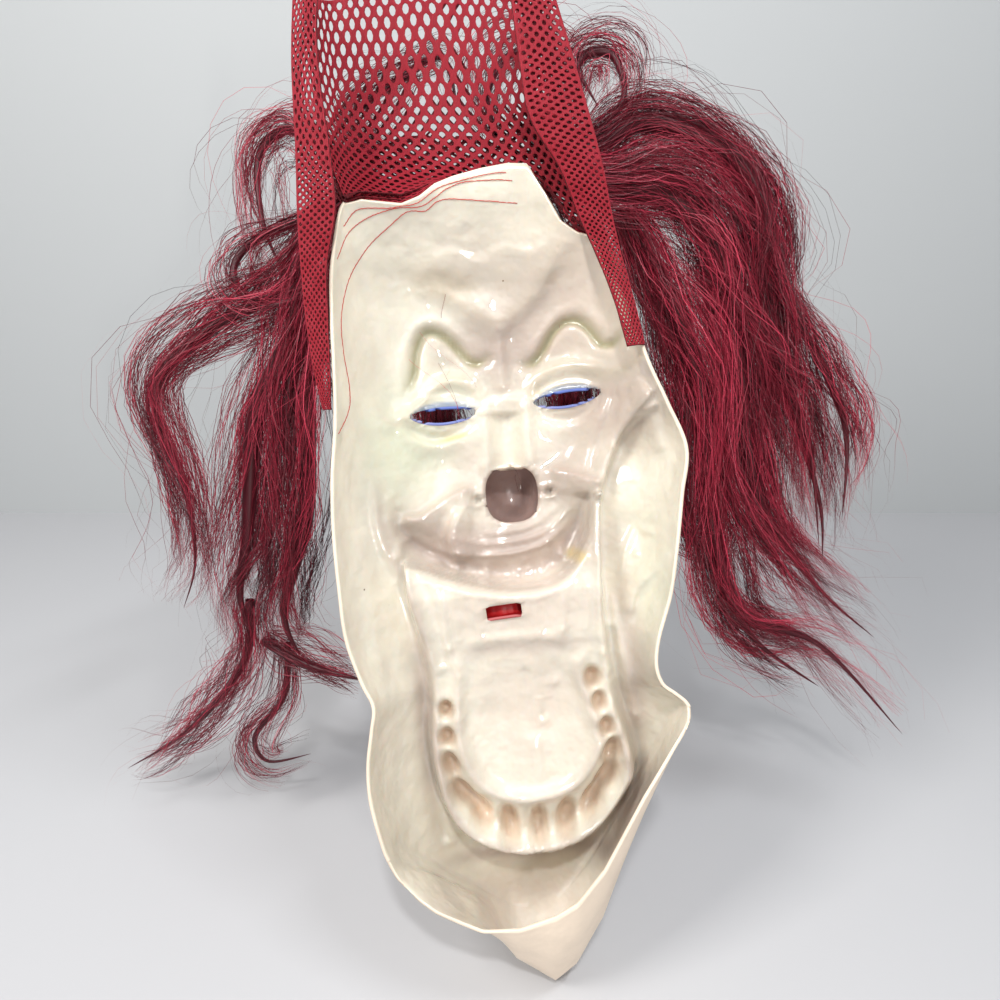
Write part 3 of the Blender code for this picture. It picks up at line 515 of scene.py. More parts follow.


# Paint, in linear colour. Spots: colour, strength, x, z, half width, half height, turn. The mauve spots are
# painted shade in the deep middle, the hollows and the recesses of the inside.
latexPaint = {
    "cream": (0.72, 0.67, 0.56), "rim": (0.78, 0.73, 0.58), "mauveShade": (0.33, 0.235, 0.205),
    "pink": (0.60, 0.46, 0.40),
    "olive": (0.30, 0.27, 0.13), "green": (0.56, 0.60, 0.44), "brownShade": (0.42, 0.33, 0.22),
    "yellow": (0.62, 0.47, 0.14), "tan": (0.56, 0.38, 0.25), "shade": (0.50, 0.43, 0.33),
    "nosePocketShade": (0.30, 0.19, 0.17),
}
paintSpots = (
    ("mauveShade", 0.70, 2, 32, 36, 28, 0), ("mauveShade", 0.62, 56, -4, 25, 25, 20),
    ("mauveShade", 0.62, 27, -42, 26, 20, 20),
    ("mauveShade", 0.45, -24, -36, 18, 22, 0), ("mauveShade", 0.80, 0, -77, 50, 16, 0),
    ("mauveShade", 0.62, -46, -68, 26, 15, -30), ("mauveShade", 0.35, 8, 70, 48, 20, -20),
    ("pink", 0.45, 0, -108, 46, 18, 0),
    ("pink", 0.35, 0, -168, 34, 42, 0), ("mauveShade", 0.60, -57, -165, 6, 60, 0),
    ("mauveShade", 0.60, 57, -150, 8, 52, 0),
    ("mauveShade", 0.85, 0, -252, 46, 6, 0), ("mauveShade", 0.60, 52, -228, 8, 32, -30),
    ("green", 0.45, -50, -20, 20, 22, 0),
    ("green", 0.40, -38, 14, 26, 12, 0), ("green", 0.35, 36, 16, 26, 12, 0),
    ("green", 0.40, -66, -20, 16, 34, 0),
    ("yellow", 0.60, -30, -14.5, 10, 2.0, 10), ("yellow", 0.7, 31, -84, 4.5, 3.5, 0),
    # The brown spots on this line and the next are painted shade under the frown fold.
    ("yellow", 0.30, 30, 8, 14, 3, 8), ("brownShade", 0.50, -30, 70, 20, 8, -10),
    ("brownShade", 0.30, 44, 74, 12, 10, 0),
    ("pink", 0.35, -10, -282, 60, 18, 0), ("green", 0.30, 68, -110, 10, 50, 0),
    ("mauveShade", 0.35, 0, -130, 44, 5, 0),
    ("pink", 0.40, 50, 40, 34, 60, 0),
)
# Lines: colour, strength, fold path, width. The mauve and shade lines are painted shade along creases and
# grooves; the olive brow lines are the latex's own tint.
paintLines = (
    ("olive", 0.85, "brow_left", 2.6), ("olive", 0.80, "brow_right", 2.6), ("mauveShade", 0.55, "gum", 3.4),
    ("mauveShade", 0.50, "upper_gum", 4.5), ("mauveShade", 0.35, "jaw_left", 3.0),
    ("mauveShade", 0.30, "cheek_line_left", 2.6),
    ("mauveShade", 0.30, "cheek_line_right", 2.6), ("shade", 0.50, "lid_crease_left", 2.4),
    ("shade", 0.50, "lid_crease_right", 2.4), ("shade", 0.30, "frown", 4.0),
    ("mauveShade", 0.30, "tongue_rim", 3.0),
)
eyeEdge = {"colour": (0.17, 0.22, 0.32), "strength": 0.85, "lift": 0.0}

# The outer skin, which the wearer's audience sees: plain face paint.
outerPaint = {
    "skin": (0.84, 0.70, 0.56), "lips": (0.42, 0.02, 0.02), "lids": (0.06, 0.12, 0.45),
    "brows": (0.05, 0.02, 0.02),
    "nose": (0.55, 0.03, 0.03), "teeth": (0.75, 0.66, 0.40), "gums": (0.45, 0.10, 0.10),
}


def mixed(colour, other, weight):
    return colour + (np.array(other) - colour) * np.clip(weight, 0, 1)[..., None]


def innerColour(x, z, across):
    colour = np.zeros(x.shape + (3,)) + np.array(latexPaint["cream"])
    colour = mixed(colour, latexPaint["rim"], 0.25 * smooth(np.abs(across)[None, :] - 0.965, 0.02) + 0 * x)
    for name, strength, cx, cz, wide, tall, turn in paintSpots:
        colour = mixed(colour, latexPaint[name], dent(x, z, cx, cz, wide, tall, turn, strength, flat=1.4))
    for name, strength, path, wide in paintLines:
        colour = mixed(colour, latexPaint[name], fold(x, z, strength, wide, wide, folds[path][3]))
    for cx, cz, wide, tall, turn, _ in teeth:
        colour = mixed(colour, latexPaint["tan"], dent(x, z, cx, cz, wide, tall, turn, 0.75, flat=2.0))
    # Painted shade inside the deep nose pocket.
    colour = mixed(colour, latexPaint["nosePocketShade"], 0.9 * smooth(1.0 - noseReach(x, z), 0.03))
    for eyeX, eyeZ, turn in eyes:
        path = almond(turn, eyeX, eyeZ + eyeEdge["lift"], eyeSize["above"])
        dist = toPath(x, z, np.vstack([path, path[:1]]))[0]
        inside = np.where(within(x, z, path), dist, -dist)
        colour = mixed(colour, eyeEdge["colour"],
                       eyeEdge["strength"] * smooth(inside - 0.2, 0.9) * smooth(z - eyeZ - 0.5, 1))
    return colour


def outerColour(x, z, row):
    colour = np.zeros(x.shape + (3,)) + np.array(outerPaint["skin"])
    for eyeX, eyeZ, turn in eyes:
        colour = mixed(colour, outerPaint["lids"], dent(x, z, eyeX, eyeZ + 6, 25, 17, turn, 0.95, flat=3))
    for path in ("brow_left", "brow_right"):
        colour = mixed(colour, outerPaint["brows"], fold(x, z, 1.0, 4.5, 4.5, folds[path][3]))
    outline = spline(mouthOutline + mouthOutline[:1], 4 * len(mouthOutline))
    dist = toPath(x, z, outline)[0]
    inside = np.where(within(x, z, outline), dist, -dist)
    front = smooth(13.6 - row, 0.2)[:, None] + 0 * x  # the folded chin flap stays plain
    colour = mixed(colour, outerPaint["lips"], smooth(inside + 9, 1.0) * smooth(-z - 62, 5) * front)
    colour = mixed(colour, outerPaint["gums"], smooth(inside - 1, 0.8) * front)
    for cx, cz, wide, tall, turn, _ in teeth:
        colour = mixed(colour, outerPaint["teeth"],
                       front * dent(x, z, cx, cz, wide * 1.05, tall, turn, 1.0, flat=3))
    return mixed(colour, outerPaint["nose"], smooth(0.84 - noseReach(x, z), 0.04))


latexLook = {
    "latexInside": {"paint": "paint", "rough": 0.42, "ripples": 85.0, "detail": 2.0, "bump": 0.6,
                    "rise": 0.003, "coat": 1.0, "coatRough": 0.03, "soft": 0.3},
    "latexOutside": {"paint": "facePaint", "rough": 0.6, "ripples": 260.0, "detail": 2.0, "bump": 0.5,
                     "rise": 0.0006, "coat": 0.0, "coatRough": 0.03, "soft": 0.0},
}


def latexMaterial(name):
    look = latexLook[name]
    material, shader = newMaterial(name, latexPaint["cream"], look["rough"])
    paint = addNode(material, "ShaderNodeAttribute", attribute_name=look["paint"])
    place = addNode(material, "ShaderNodeTexCoord")
    blotches = addNode(material, "ShaderNodeTexNoise", Scale=38.0, Detail=4.0, Roughness=0.55)
    join(material, place, "Object", blotches, "Vector")
    tone = addNode(material, "ShaderNodeMapRange")
    tone.inputs["From Min"].default_value = 0.3
    tone.inputs["From Max"].default_value = 0.7
    tone.inputs["To Min"].default_value = 0.90
    tone.inputs["To Max"].default_value = 1.06
    join(material, blotches, "Fac", tone, "Value")
    scaled = addNode(material, "ShaderNodeVectorMath", operation="SCALE")
    join(material, paint, "Color", scaled, 0)
    join(material, tone, "Result", scaled, "Scale")
    specks = addNode(material, "ShaderNodeTexVoronoi", Scale=90.0, Randomness=1.0)
    join(material, place, "Object", specks, "Vector")
    rare = addNode(material, "ShaderNodeTexNoise", Scale=24.0, Detail=1.0)
    join(material, place, "Object", rare, "Vector")
    dotSize = addNode(material, "ShaderNodeMapRange")
    dotSize.inputs["From Min"].default_value = 0.58
    dotSize.inputs["From Max"].default_value = 0.75
    dotSize.inputs["To Min"].default_value = 0.0
    dotSize.inputs["To Max"].default_value = 0.11
    join(material, rare, "Fac", dotSize, "Value")
    isDot = addNode(material, "ShaderNodeMath", operation="LESS_THAN")
    join(material, specks, "Distance", isDot, 0)
    join(material, dotSize, "Result", isDot, 1)
    speckMix = addNode(material, "ShaderNodeMix", data_type="RGBA")
    join(material, isDot, "Value", speckMix, "Factor")
    material.node_tree.links.new(scaled.outputs[0], speckMix.inputs[6])
    speckMix.inputs[7].default_value = (0.22, 0.15, 0.09, 1.0)
    material.node_tree.links.new(speckMix.outputs[2], shader.inputs["Base Color"])
    ripple = addNode(material, "ShaderNodeTexNoise", Scale=look["ripples"], Detail=look["detail"],
                     Roughness=0.45)
    join(material, place, "Object", ripple, "Vector")
    bump = addNode(material, "ShaderNodeBump", Strength=look["bump"])
    bump.inputs["Distance"].default_value = look["rise"]
    join(material, ripple, "Fac", bump, "Height")
    join(material, bump, "Normal", shader, "Normal")
    shader.inputs["Specular IOR Level"].default_value = 0.55
    if look["coat"]:
        shader.inputs["Coat Weight"].default_value = look["coat"]
        shader.inputs["Coat Roughness"].default_value = look["coatRough"]
        shader.inputs["Subsurface Weight"].default_value = look["soft"]
        shader.inputs["Subsurface Radius"].default_value = (1.0, 0.55, 0.35)
        shader.inputs["Subsurface Scale"].default_value = 0.003
    return material


def buildMask():
    across = np.linspace(-1, 1, maskShape["columns"] + 1)
    row = evenRows(maskShape["rows"] + 1)
    points, flat = facePoints(across, row, True)
    removed = np.zeros(flat[0].shape, dtype=bool)
    outlines = [(almond(turn, x, z, eyeSize["open"]), eyeSize["snap"]) for x, z, turn in eyes]
    outlines.append((oblong(slot[2], slot[0], slot[1]), slotSize["snap"]))
    for outline, reach in outlines:
        inside, onto, nearX, nearZ = snap(flat, outline, reach)
        points[..., 0] = np.where(onto, nearX, points[..., 0])
        points[..., 2] = np.where(onto, nearZ, points[..., 2])
        removed |= inside & ~onto
    piece = gridPiece("latexMask", maskShape["columns"], maskShape["rows"])
    setCoords(piece, placed(points[::-1].reshape(-1, 3)))
    colours = {"paint": innerColour(flat[0], flat[1], across),
               "facePaint": outerColour(flat[0], flat[1], row)}
    for name, colour in colours.items():
        layer = piece.data.color_attributes.new(name, "FLOAT_COLOR", "POINT")
        rgba = np.ones(flat[0].shape + (4,), dtype=np.float32)
        rgba[..., :3] = colour
        layer.data.foreach_set("color", rgba[::-1].ravel())
    cut = removed[::-1].ravel()
    corners = np.empty(len(piece.data.polygons) * 4, dtype=np.int32)
    piece.data.polygons.foreach_get("vertices", corners)
    gone = cut[corners].reshape(-1, 4).any(axis=1)
    bpy.ops.object.mode_set(mode="EDIT")
    bpy.ops.mesh.select_mode(type="FACE")
    bpy.ops.mesh.select_all(action="DESELECT")
    bpy.ops.object.mode_set(mode="OBJECT")
    piece.data.polygons.foreach_set("select", gone)
    bpy.ops.object.mode_set(mode="EDIT")
    bpy.ops.mesh.delete(type="FACE")
    bpy.ops.object.mode_set(mode="OBJECT")
    piece.data.materials.append(latexMaterial("latexInside"))
    piece.data.materials.append(latexMaterial("latexOutside"))
    wall = piece.modifiers.new("wall", "SOLIDIFY")
    wall.thickness = maskShape["wall"] * faceFrame["mm"]
    wall.offset = -1.0
    wall.material_offset = 1
    wall.material_offset_rim = 1
    applyAll(piece)
    smoothShade(piece)
    fixed(piece, "latex", "mask_shell")
    return piece


def buildLip():  # the painted lip that shows through the slot
    piece = gridPiece("lipBehindSlot", 16, 8)
    flat = coords(piece) * (lipBehind["wide"], lipBehind["tall"], 0)
    x, z = turned(flat[:, 0], flat[:, 1], slot[2], slot[0], slot[1]).T
    y = lipBehind["depth"] + 0.03 * flat[:, 0] ** 2 + 0.05 * flat[:,
                                                                  1] ** 2 + 0.5 * np.sin(1.1 * flat[:, 0])
    setCoords(piece, placed(np.stack([x, y, z], axis=1)))
    wall = piece.modifiers.new("wall", "SOLIDIFY")
    wall.thickness = 0.0012
    wall.offset = -1.0
    applyAll(piece)
    smoothShade(piece)
    material, shader = newMaterial("redLip", lipBehind["colour"], 0.45)
    mottle = addNode(material, "ShaderNodeTexNoise", Scale=240.0, Detail=3.0)
    place = addNode(material, "ShaderNodeTexCoord")
    join(material, place, "Object", mottle, "Vector")
    bump = addNode(material, "ShaderNodeBump", Strength=0.5)
    bump.inputs["Distance"].default_value = 0.0006
    join(material, mottle, "Fac", bump, "Height")
    join(material, bump, "Normal", shader, "Normal")
    piece.data.materials.append(material)
    fixed(piece, "latex")


lipBehind = {"wide": 30.0, "tall": 18.0, "depth": 20.2, "colour": (0.50, 0.010, 0.012)}
latexMask = buildMask()
buildLip()
print("latex mask", len(latexMask.data.polygons), "faces")

# The net cap: sheets of diamond cells, cut through, rounded and knitted.
crownRows = (
    (-80, 1, 128, 44, 3, 112, 30, 5), (-85, -5, 160, 36, -2, 150, 34, 6),
    (-84, -6, 207, 31, -6, 199, 22, 18),
)
bandLeft = ((208, -76, -88, -10), (170, -79, -92, -10), (125, -77, -94, -8), (97, -77, -96, -6),
             (72, -83.8, -97, -3), (46, -85.8, -97, -1), (20, -86.8, -95, -1), (0, -88, -92, -1))
bandRight = ((192, 17, 38.5, -10), (160, 19, 46, -8), (134, 22, 51.5, -7), (110, 35, 56.5, -4),
              (88, 43, 60, 1), (67, 51, 63.5, 2.6), (44, 57.5, 67.5, 0.5), (20, 62, 71, -1))

netCap = {
    "columns": 24, "rows": 24, "wide": 128.0, "tall": 118.0, "strand": 0.48, "wall": 0.50,
    "crowd": 1.2, "gather": 1.3, "seamReach": 0.88, "seamEase": 3.4,
    "foldColumns": 30, "foldRows": 34, "foldStrand": 0.6, "foldLift": 2.4,
    "backColumns": 24, "backRows": 22, "backLift": 5.0,
    "bandColumns": 5, "bandRows": 50, "bandWide": 15.0, "bandTall": 210.0, "bandStrand": 0.40,
    "bandWall": 0.5, "bandLift": 1.5, "least": 0.3,
}
# Where the cap is one layer only: corners of the gaps in its back layer, x and z.
backGaps = (
    ((-100, 150), (-81, 154), (-76, 168), (-63, 176), (-53, 187), (-37, 198), (-19, 209), (-12, 240),
     (-100, 240)),
    ((-26, 195), (-13, 175), (-44, 165)), ((-5, 240), (22, 240), (24, 160), (9, 160), (-4, 167),
                                           (-10, 195)),
)
# Taken out of every layer, where the seam would come in front of the forehead's notch.
seamGaps = (((8, 119), (21, 124), (28, 114), (36, 98), (42, 86), (36, 82), (20, 102), (10, 112)),)
# The folded strip along the seam ends below this line.
foldGaps = (((-130, 138), (-70, 142), (-50, 150), (-30, 152), (0, 146), (20, 156), (90, 168), (90, 300),
             (-130, 300)),)


def outward(points):
    out = np.cross(np.gradient(points, axis=1), np.gradient(points, axis=0))
    out = out / np.maximum(np.linalg.norm(out, axis=2, keepdims=True), 1e-9)
    return out * np.sign(out[:, points.shape[1] // 2, 1])[:, None, None]


def crownSheet(lift):  # from the seam outside the forehead up to the held end
    wide, tall = 60, 90
    face = facePoints(np.linspace(-1, 1, 161), np.linspace(0, len(sections) - 1, 181), False)[0]
    out = outward(face)
    place = np.linspace(-netCap["seamReach"], netCap["seamReach"], wide + 1) * 80 + 80
    rows = [sample(face[r] + out[r] * netCap["seamEase"], place) for r in (1, 0)]
    full = math.radians(maskShape["fullAngle"])
    u = full * np.linspace(-1, 1, wide + 1)
    half = 0.5 * (np.sin(u) / math.sin(full) + 1)
    for lx, ly, lz, rx, ry, rz, my, rise in crownRows:
        side = ly + (ry - ly) * half
        rows.append(np.stack([lx + (rx - lx) * half, side + (my - side) * np.cos(u) ** 0.9,
                              lz + (rz - lz) * half + rise * (1 - (2 * half - 1) ** 2)], axis=1))
    stack = np.array(rows).reshape(len(rows), -1)
    sheet = sample(stack, np.linspace(0, len(rows) - 1, tall + 1)).reshape(tall + 1, wide + 1, 3)
    share = np.linspace(0, 1, tall + 1)[:, None]
    across = np.linspace(0, 1, wide + 1)[None, :]
    gather = np.sin(across * 31 + 2.5 * share) + 0.6 * np.sin(across * 53 - 3 * share + 1.3)
    gather = gather * netCap["gather"] * share ** 1.5 * np.sin(math.pi * across) ** 0.5
    return sheet + outward(sheet) * (gather + lift)[..., None]


def bandSheet(table):
    rows = spline(table, 80)
    share = np.linspace(0, 1, 9)
    z, inner, outer, y = rows.T
    x = inner[:, None] + (outer - inner)[:, None] * share
    bend = 1.6 * np.sin(math.pi * share)[None, :]
    ripple = 0.5 * np.sin(0.35 * z)[:, None] * np.sin(2 * math.pi * share)[None, :]
    sheet = np.stack([x, y[:, None] - bend + ripple, z[:, None] + 0 * x], axis=-1)[::-1]
    return sheet if outer[0] > inner[0] else sheet[:, ::-1]


def onSheet(sheet, u, v):
    tall, wide = sheet.shape[0] - 1, sheet.shape[1] - 1
    a = np.clip(u, 0, 1) * wide
    b = np.clip(v, 0, 1) * tall
    i = np.minimum(a.astype(int), wide - 1)
    j = np.minimum(b.astype(int), tall - 1)
    s, t = (a - i)[:, None], (b - j)[:, None]
    low = sheet[j, i] * (1 - s) + sheet[j, i + 1] * s
    high = sheet[j + 1, i] * (1 - s) + sheet[j + 1, i + 1] * s
    return low * (1 - t) + high * t


def removeGaps(piece, onFace, gaps):
    if not gaps:
        return
    bpy.ops.object.select_all(action="DESELECT")
    piece.select_set(True)
    for face in piece.data.polygons:
        centre = onFace[list(face.vertices)].mean(axis=0)
        x, z = np.array([centre[0]]), np.array([centre[2]])
        face.select = any(within(x, z, np.array(gap, dtype=float))[0] for gap in gaps)
    bpy.ops.object.mode_set(mode="EDIT")
    bpy.ops.mesh.delete(type="FACE")
    bpy.ops.object.mode_set(mode="OBJECT")


def netPiece(name, sheet, columns, rows, flat, strand, wall, gaps=(), crowd=1.0, rounds=True):
    piece = gridPiece(name, columns, rows)
    setCoords(piece, coords(piece) * (flat[0], flat[1], 1) * faceFrame["mm"])
    corners = len(piece.data.vertices)
    bpy.ops.object.mode_set(mode="EDIT")
    bpy.ops.mesh.select_mode(type="FACE")
    bpy.ops.mesh.select_all(action="SELECT")
    bpy.ops.mesh.poke()
    bpy.ops.mesh.select_all(action="DESELECT")
    bpy.ops.mesh.select_mode(type="EDGE")
    bpy.ops.object.mode_set(mode="OBJECT")
    used = {}
    for face in piece.data.polygons:
        for key in face.edge_keys:
            used[key] = used.get(key, 0) + 1
    for edge in piece.data.edges:
        a, b = edge.vertices
        edge.select = a < corners and b < corners and used[edge.key] == 2
    bpy.ops.object.mode_set(mode="EDIT")
    bpy.ops.mesh.dissolve_edges(use_verts=False)  # leaves a staggered net of diamonds
    bpy.ops.mesh.select_mode(type="FACE")
    bpy.ops.mesh.select_all(action="DESELECT")
    bpy.ops.object.mode_set(mode="OBJECT")
    for face in piece.data.polygons:
        face.select = len(face.vertices) == 4
    bpy.ops.object.mode_set(mode="EDIT")
    bpy.ops.mesh.inset(thickness=strand * faceFrame["mm"], use_individual=True, use_even_offset=True)
    bpy.ops.mesh.delete(type="FACE")
    bpy.ops.object.mode_set(mode="OBJECT")
    co = coords(piece) / faceFrame["mm"]
    u, v = co[:, 0] / flat[0] + 0.5, co[:, 1] / flat[1] + 0.5
    onFace = onSheet(sheet, u, np.clip(v, 0, 1) ** crowd)
    areas = {tuple(face.vertices): face.area for face in piece.data.polygons}
    cutArea = sum(areas.values())
    setCoords(piece, placed(onFace))
    before = len(areas)
    removeGaps(piece, onFace, gaps)
    cutArea *= len(piece.data.polygons) / before * (1 + 0.5 * wall / strand)  # the yarn has sides
    thick = piece.modifiers.new("wall", "SOLIDIFY")
    thick.thickness = wall * faceFrame["mm"]
    thick.offset = 0.0
    if rounds:
        rounded = piece.modifiers.new("rounded", "SUBSURF")
        rounded.levels = 1
        rounded.render_levels = 1
    applyAll(piece)
    smoothShade(piece)
    piece.data.materials.append(netMaterial if rounds else netShade)
    piece["cutArea"] = cutArea
    return piece


def knitMaterial(name, depth):  # depth darkens the yarn of a layer that lies behind, as painted shade
    material, shader = newMaterial(name, (0.30 * depth, 0.008 * depth, 0.02 * depth), 0.62)
    place = addNode(material, "ShaderNodeTexCoord")
    threads = addNode(material, "ShaderNodeTexWave", Scale=520.0, Distortion=3.0, Detail=2.0)
    threads.inputs["Detail Scale"].default_value = 1.4
    join(material, place, "Object", threads, "Vector")
    tone = addNode(material, "ShaderNodeMix", data_type="RGBA")
    tone.inputs[6].default_value = (0.13 * depth, 0.0025 * depth, 0.008 * depth, 1.0)
    tone.inputs[7].default_value = (0.40 * depth, 0.009 * depth, 0.025 * depth, 1.0)
    join(material, threads, "Fac", tone, "Factor")
    material.node_tree.links.new(tone.outputs[2], shader.inputs["Base Color"])
    bump = addNode(material, "ShaderNodeBump", Strength=0.6)
    bump.inputs["Distance"].default_value = 0.0003
    join(material, threads, "Fac", bump, "Height")
    join(material, bump, "Normal", shader, "Normal")
    shader.inputs["Sheen Weight"].default_value = 0.15
    shader.inputs["Sheen Roughness"].default_value = 0.4
    shader.inputs["Sheen Tint"].default_value = (1.0, 0.35, 0.4, 1.0)
    shader.inputs["Specular IOR Level"].default_value = 0.3
    return material


netMaterial = knitMaterial("redNet", 1.0)
# The back, fold and back band layers take this darker yarn: painted shade.
netShade = knitMaterial("redNetPaintedShade", 0.45)
crownFlat = (netCap["wide"], netCap["tall"])
bandFlat = (netCap["bandWide"], netCap["bandTall"])
netCrown = netPiece("netCrown", crownSheet(0.0), netCap["columns"], netCap["rows"], crownFlat,
                    netCap["strand"], netCap["wall"], gaps=seamGaps, crowd=netCap["crowd"])
netBack = netPiece("netBackLayer", crownSheet(netCap["backLift"]), netCap["backColumns"],
                   netCap["backRows"],
                   crownFlat, netCap["strand"], netCap["wall"], gaps=seamGaps + backGaps, rounds=False)
netFold = netPiece("netFoldLayer", crownSheet(netCap["foldLift"]), netCap["foldColumns"],
                   netCap["foldRows"], crownFlat, netCap["foldStrand"], netCap["wall"],
                   gaps=seamGaps + foldGaps, rounds=False)
netSheets = [(sheet, "net_crown", crownFlat, "gathered") for sheet in (netCrown, netBack, netFold)]
for side, table in (("Left", bandLeft), ("Right", bandRight)):
    for layer, lift in (("Front", 0.0), ("Back", netCap["bandLift"])):
        strip = bandSheet(table) + (0, lift, 0)
        shift = 1 if layer == "Back" else 0
        band = netPiece("netBand" + side + layer, strip, netCap["bandColumns"] + shift,
                        netCap["bandRows"] + 3 * shift, bandFlat, netCap["bandStrand"], netCap["bandWall"],
                        rounds=layer == "Front")
        netSheets.append((band, "net_band_" + side.lower(), bandFlat, "stretched"))
for piece, node, flat, hangs in netSheets:
    fixed(piece, "red_net", node)
print("net cap", sum(len(row[0].data.polygons) for row in netSheets), "faces")

# Red sewing thread on the inside of the forehead, x and z.
thread = {"thick": 0.42, "proud": 0.25}
threadLines = {
    "side": ((-86.0, -12), (-81.8, 1), (-80.8, 12), (-81.8, 33), (-80.9, 52), (-77.2, 69), (-70.8, 81),
             (-61.6, 91),
             (-45, 101), (-34.6, 102), (-27.9, 106), (-20, 107), (0, 105), (14, 103)),
    "middle": ((-80.3, 77), (-74.8, 91), (-65.7, 99), (-53.2, 102.5), (-37.4, 103.5), (-29, 107.5),
               (-22, 111.5),
               (-12, 114), (4, 114), (12, 113)),
    "edge": ((-76, 94), (-68, 103), (-50.3, 103.2), (-38, 105), (-26, 112), (-10, 115.5), (2, 117),
             (9, 117)),
}


def tubeArrays(path, radius, sides):  # places and faces of a round tube, radius a number or a row
    ahead = np.gradient(path, axis=0)
    ahead /= np.maximum(np.linalg.norm(ahead, axis=1, keepdims=True), 1e-9)
    out = np.cross(ahead, (0.0, 1.0, 0.02))
    out /= np.maximum(np.linalg.norm(out, axis=1, keepdims=True), 1e-9)
    up = np.cross(out, ahead)
    a = 2 * math.pi * np.arange(sides) / sides
    radius = np.broadcast_to(radius, len(path))[:, None, None]
    ring = np.cos(a)[None, :, None] * out[:, None] + np.sin(a)[None, :, None] * up[:, None]
    points = (path[:, None] + radius * ring).reshape(-1, 3)
    k = np.arange(sides)
    base = (np.arange(len(path) - 1) * sides)[:, None]
    quads = np.stack([base + k, base + (k + 1) % sides, base + sides + (k + 1) % sides,
                      base + sides + k], axis=-1)
    return points, quads.reshape(-1, 4)


def gathered(name, parts):  # one mesh from many arrays
    points, quads, start = [], [], 0
    for co, faces in parts:
        points.append(co)
        quads.append(faces + start)
        start += len(co)
    return pieceOf(name, np.concatenate(points), np.concatenate(quads))


def buildThread():
    face = facePoints(np.linspace(-0.995, 0.995, 161), np.linspace(0, 6, 240), True)[0]
    parts = []
    for line in threadLines.values():
        path = spline(line, 30 * len(line))
        nearest = np.array([np.argmin((face[..., 0] - x) ** 2 + (face[..., 2] - z) ** 2) for x, z in path])
        depth = face[..., 1].ravel()[nearest]
        depth = np.convolve(np.pad(depth, 4, mode="edge"), np.ones(9) / 9, mode="valid")
        stitch = 0.16 * np.sin(np.arange(len(path)) * 0.9)
        places = np.stack([path[:, 0], depth - thread["proud"] - stitch, path[:, 1]], axis=1)
        parts.append(tubeArrays(placed(places), 0.5 * thread["thick"] * faceFrame["mm"], 5))
    piece = gathered("sewingThread", parts)
    smoothShade(piece)
    piece.data.materials.append(newMaterial("redThread", (0.50, 0.03, 0.02), 0.6)[0])
    fixed(piece, "red_net")


buildThread()
print("sewing thread done")

# The wig: locks of fine strands. Thickness at root, body and tip, then x, depth, z.
# The last two rows of each side hang behind the face and show through its eyes.
locksLeft = (
    (9, 20, 9, ((-58, 28, 138), (-84, 36, 146), (-110, 48, 166), (-129, 52, 153), (-128, 50, 111),
                (-112, 46, 72))),
    (16, 16, 14, ((-98, 42, 114), (-136, 50, 105), (-148, 50, 87), (-133, 48, 68), (-99, 42, 72))),
    (9, 26, 9, ((-58, 28, 128), (-92, 38, 112), (-119, 50, 79), (-166, 56, 59), (-200, 56, 27),
                (-189, 60, -30), (-187, 62, -72), (-196, 62, -100))),
    (9, 40, 20, ((-62, 30, 124), (-96, 40, 90), (-122, 60, 50), (-149, 72, 7), (-162, 82, -58),
                 (-172, 88, -100), (-163, 94, -133))),
    (18, 34, 18, ((-98, 44, 84), (-112, 58, 30), (-124, 76, -50), (-145, 86, -109), (-139, 92, -138))),
    (18, 22, 12, ((-162, 92, -127), (-134, 92, -145), (-100, 92, -157))),
    (22, 18, 8, ((-166, 88, -101), (-177, 100, -141), (-228, 132, -189), (-286, 158, -221))),
    (16, 13, 8, ((-146, 92, -130), (-155, 104, -166), (-180, 118, -194), (-176, 128, -214),
                 (-146, 124, -210))),
    (9, 16, 14, ((-60, 32, 146), (-74, 52, 172), (-45, 62, 198), (-21, 62, 208), (-14, 56, 176))),
    (9, 26, 20, ((-46, 34, 128), (-44, 58, 96), (-42, 74, 44), (-41, 80, -20), (-38, 82, -74),
                 (-20, 86, -124))),
    (9, 30, 22, ((-46, 34, 120), (-44, 60, 90), (-40, 72, 40), (-36, 76, -5), (-34, 78, -50))),
)
locksRight = (
    (9, 20, 16, ((20, 38, 150), (44, 46, 164), (58, 50, 194), (76, 52, 196), (81, 50, 173),
                 (66, 44, 149))),
    (9, 44, 16, ((24, 38, 140), (60, 46, 142), (95, 56, 158), (142, 62, 138), (164, 70, 98),
                 (162, 76, 56), (174, 84, -5), (190, 90, -67), (189, 90, -104))),
    (9, 56, 15, ((30, 36, 126), (66, 48, 118), (106, 60, 114), (133, 68, 82), (144, 82, 16),
                 (153, 90, -64), (186, 96, -120), (222, 100, -157))),
    (16, 46, 18, ((74, 48, 108), (88, 58, 84), (104, 64, 50), (118, 78, -1), (121, 88, -74),
                  (138, 92, -133), (187, 98, -159), (236, 102, -220))),
    (20, 18, 9, ((143, 68, 94), (180, 75, 39), (200, 76, -8), (203, 76, -38), (197, 76, -78))),
    (20, 22, 9, ((120, 64, 79), (159, 78, 23), (182, 82, -24), (186, 86, -94))),
    (20, 14, 9, ((111, 76, -1), (105, 88, -63), (108, 92, -86), (127, 92, -98))),
    (18, 12, 8, ((126, 90, -118), (146, 94, -153), (183, 96, -184))),
    (9, 16, 14, ((6, 40, 150), (4, 58, 184), (20, 64, 208), (48, 56, 200), (66, 48, 164))),
    (9, 26, 20, ((22, 40, 128), (34, 62, 96), (41, 76, 44), (42, 80, -20), (40, 83, -74),
                 (22, 87, -118))),
    (9, 30, 22, ((22, 40, 120), (32, 62, 90), (36, 74, 40), (36, 78, -5), (36, 80, -50))),
)

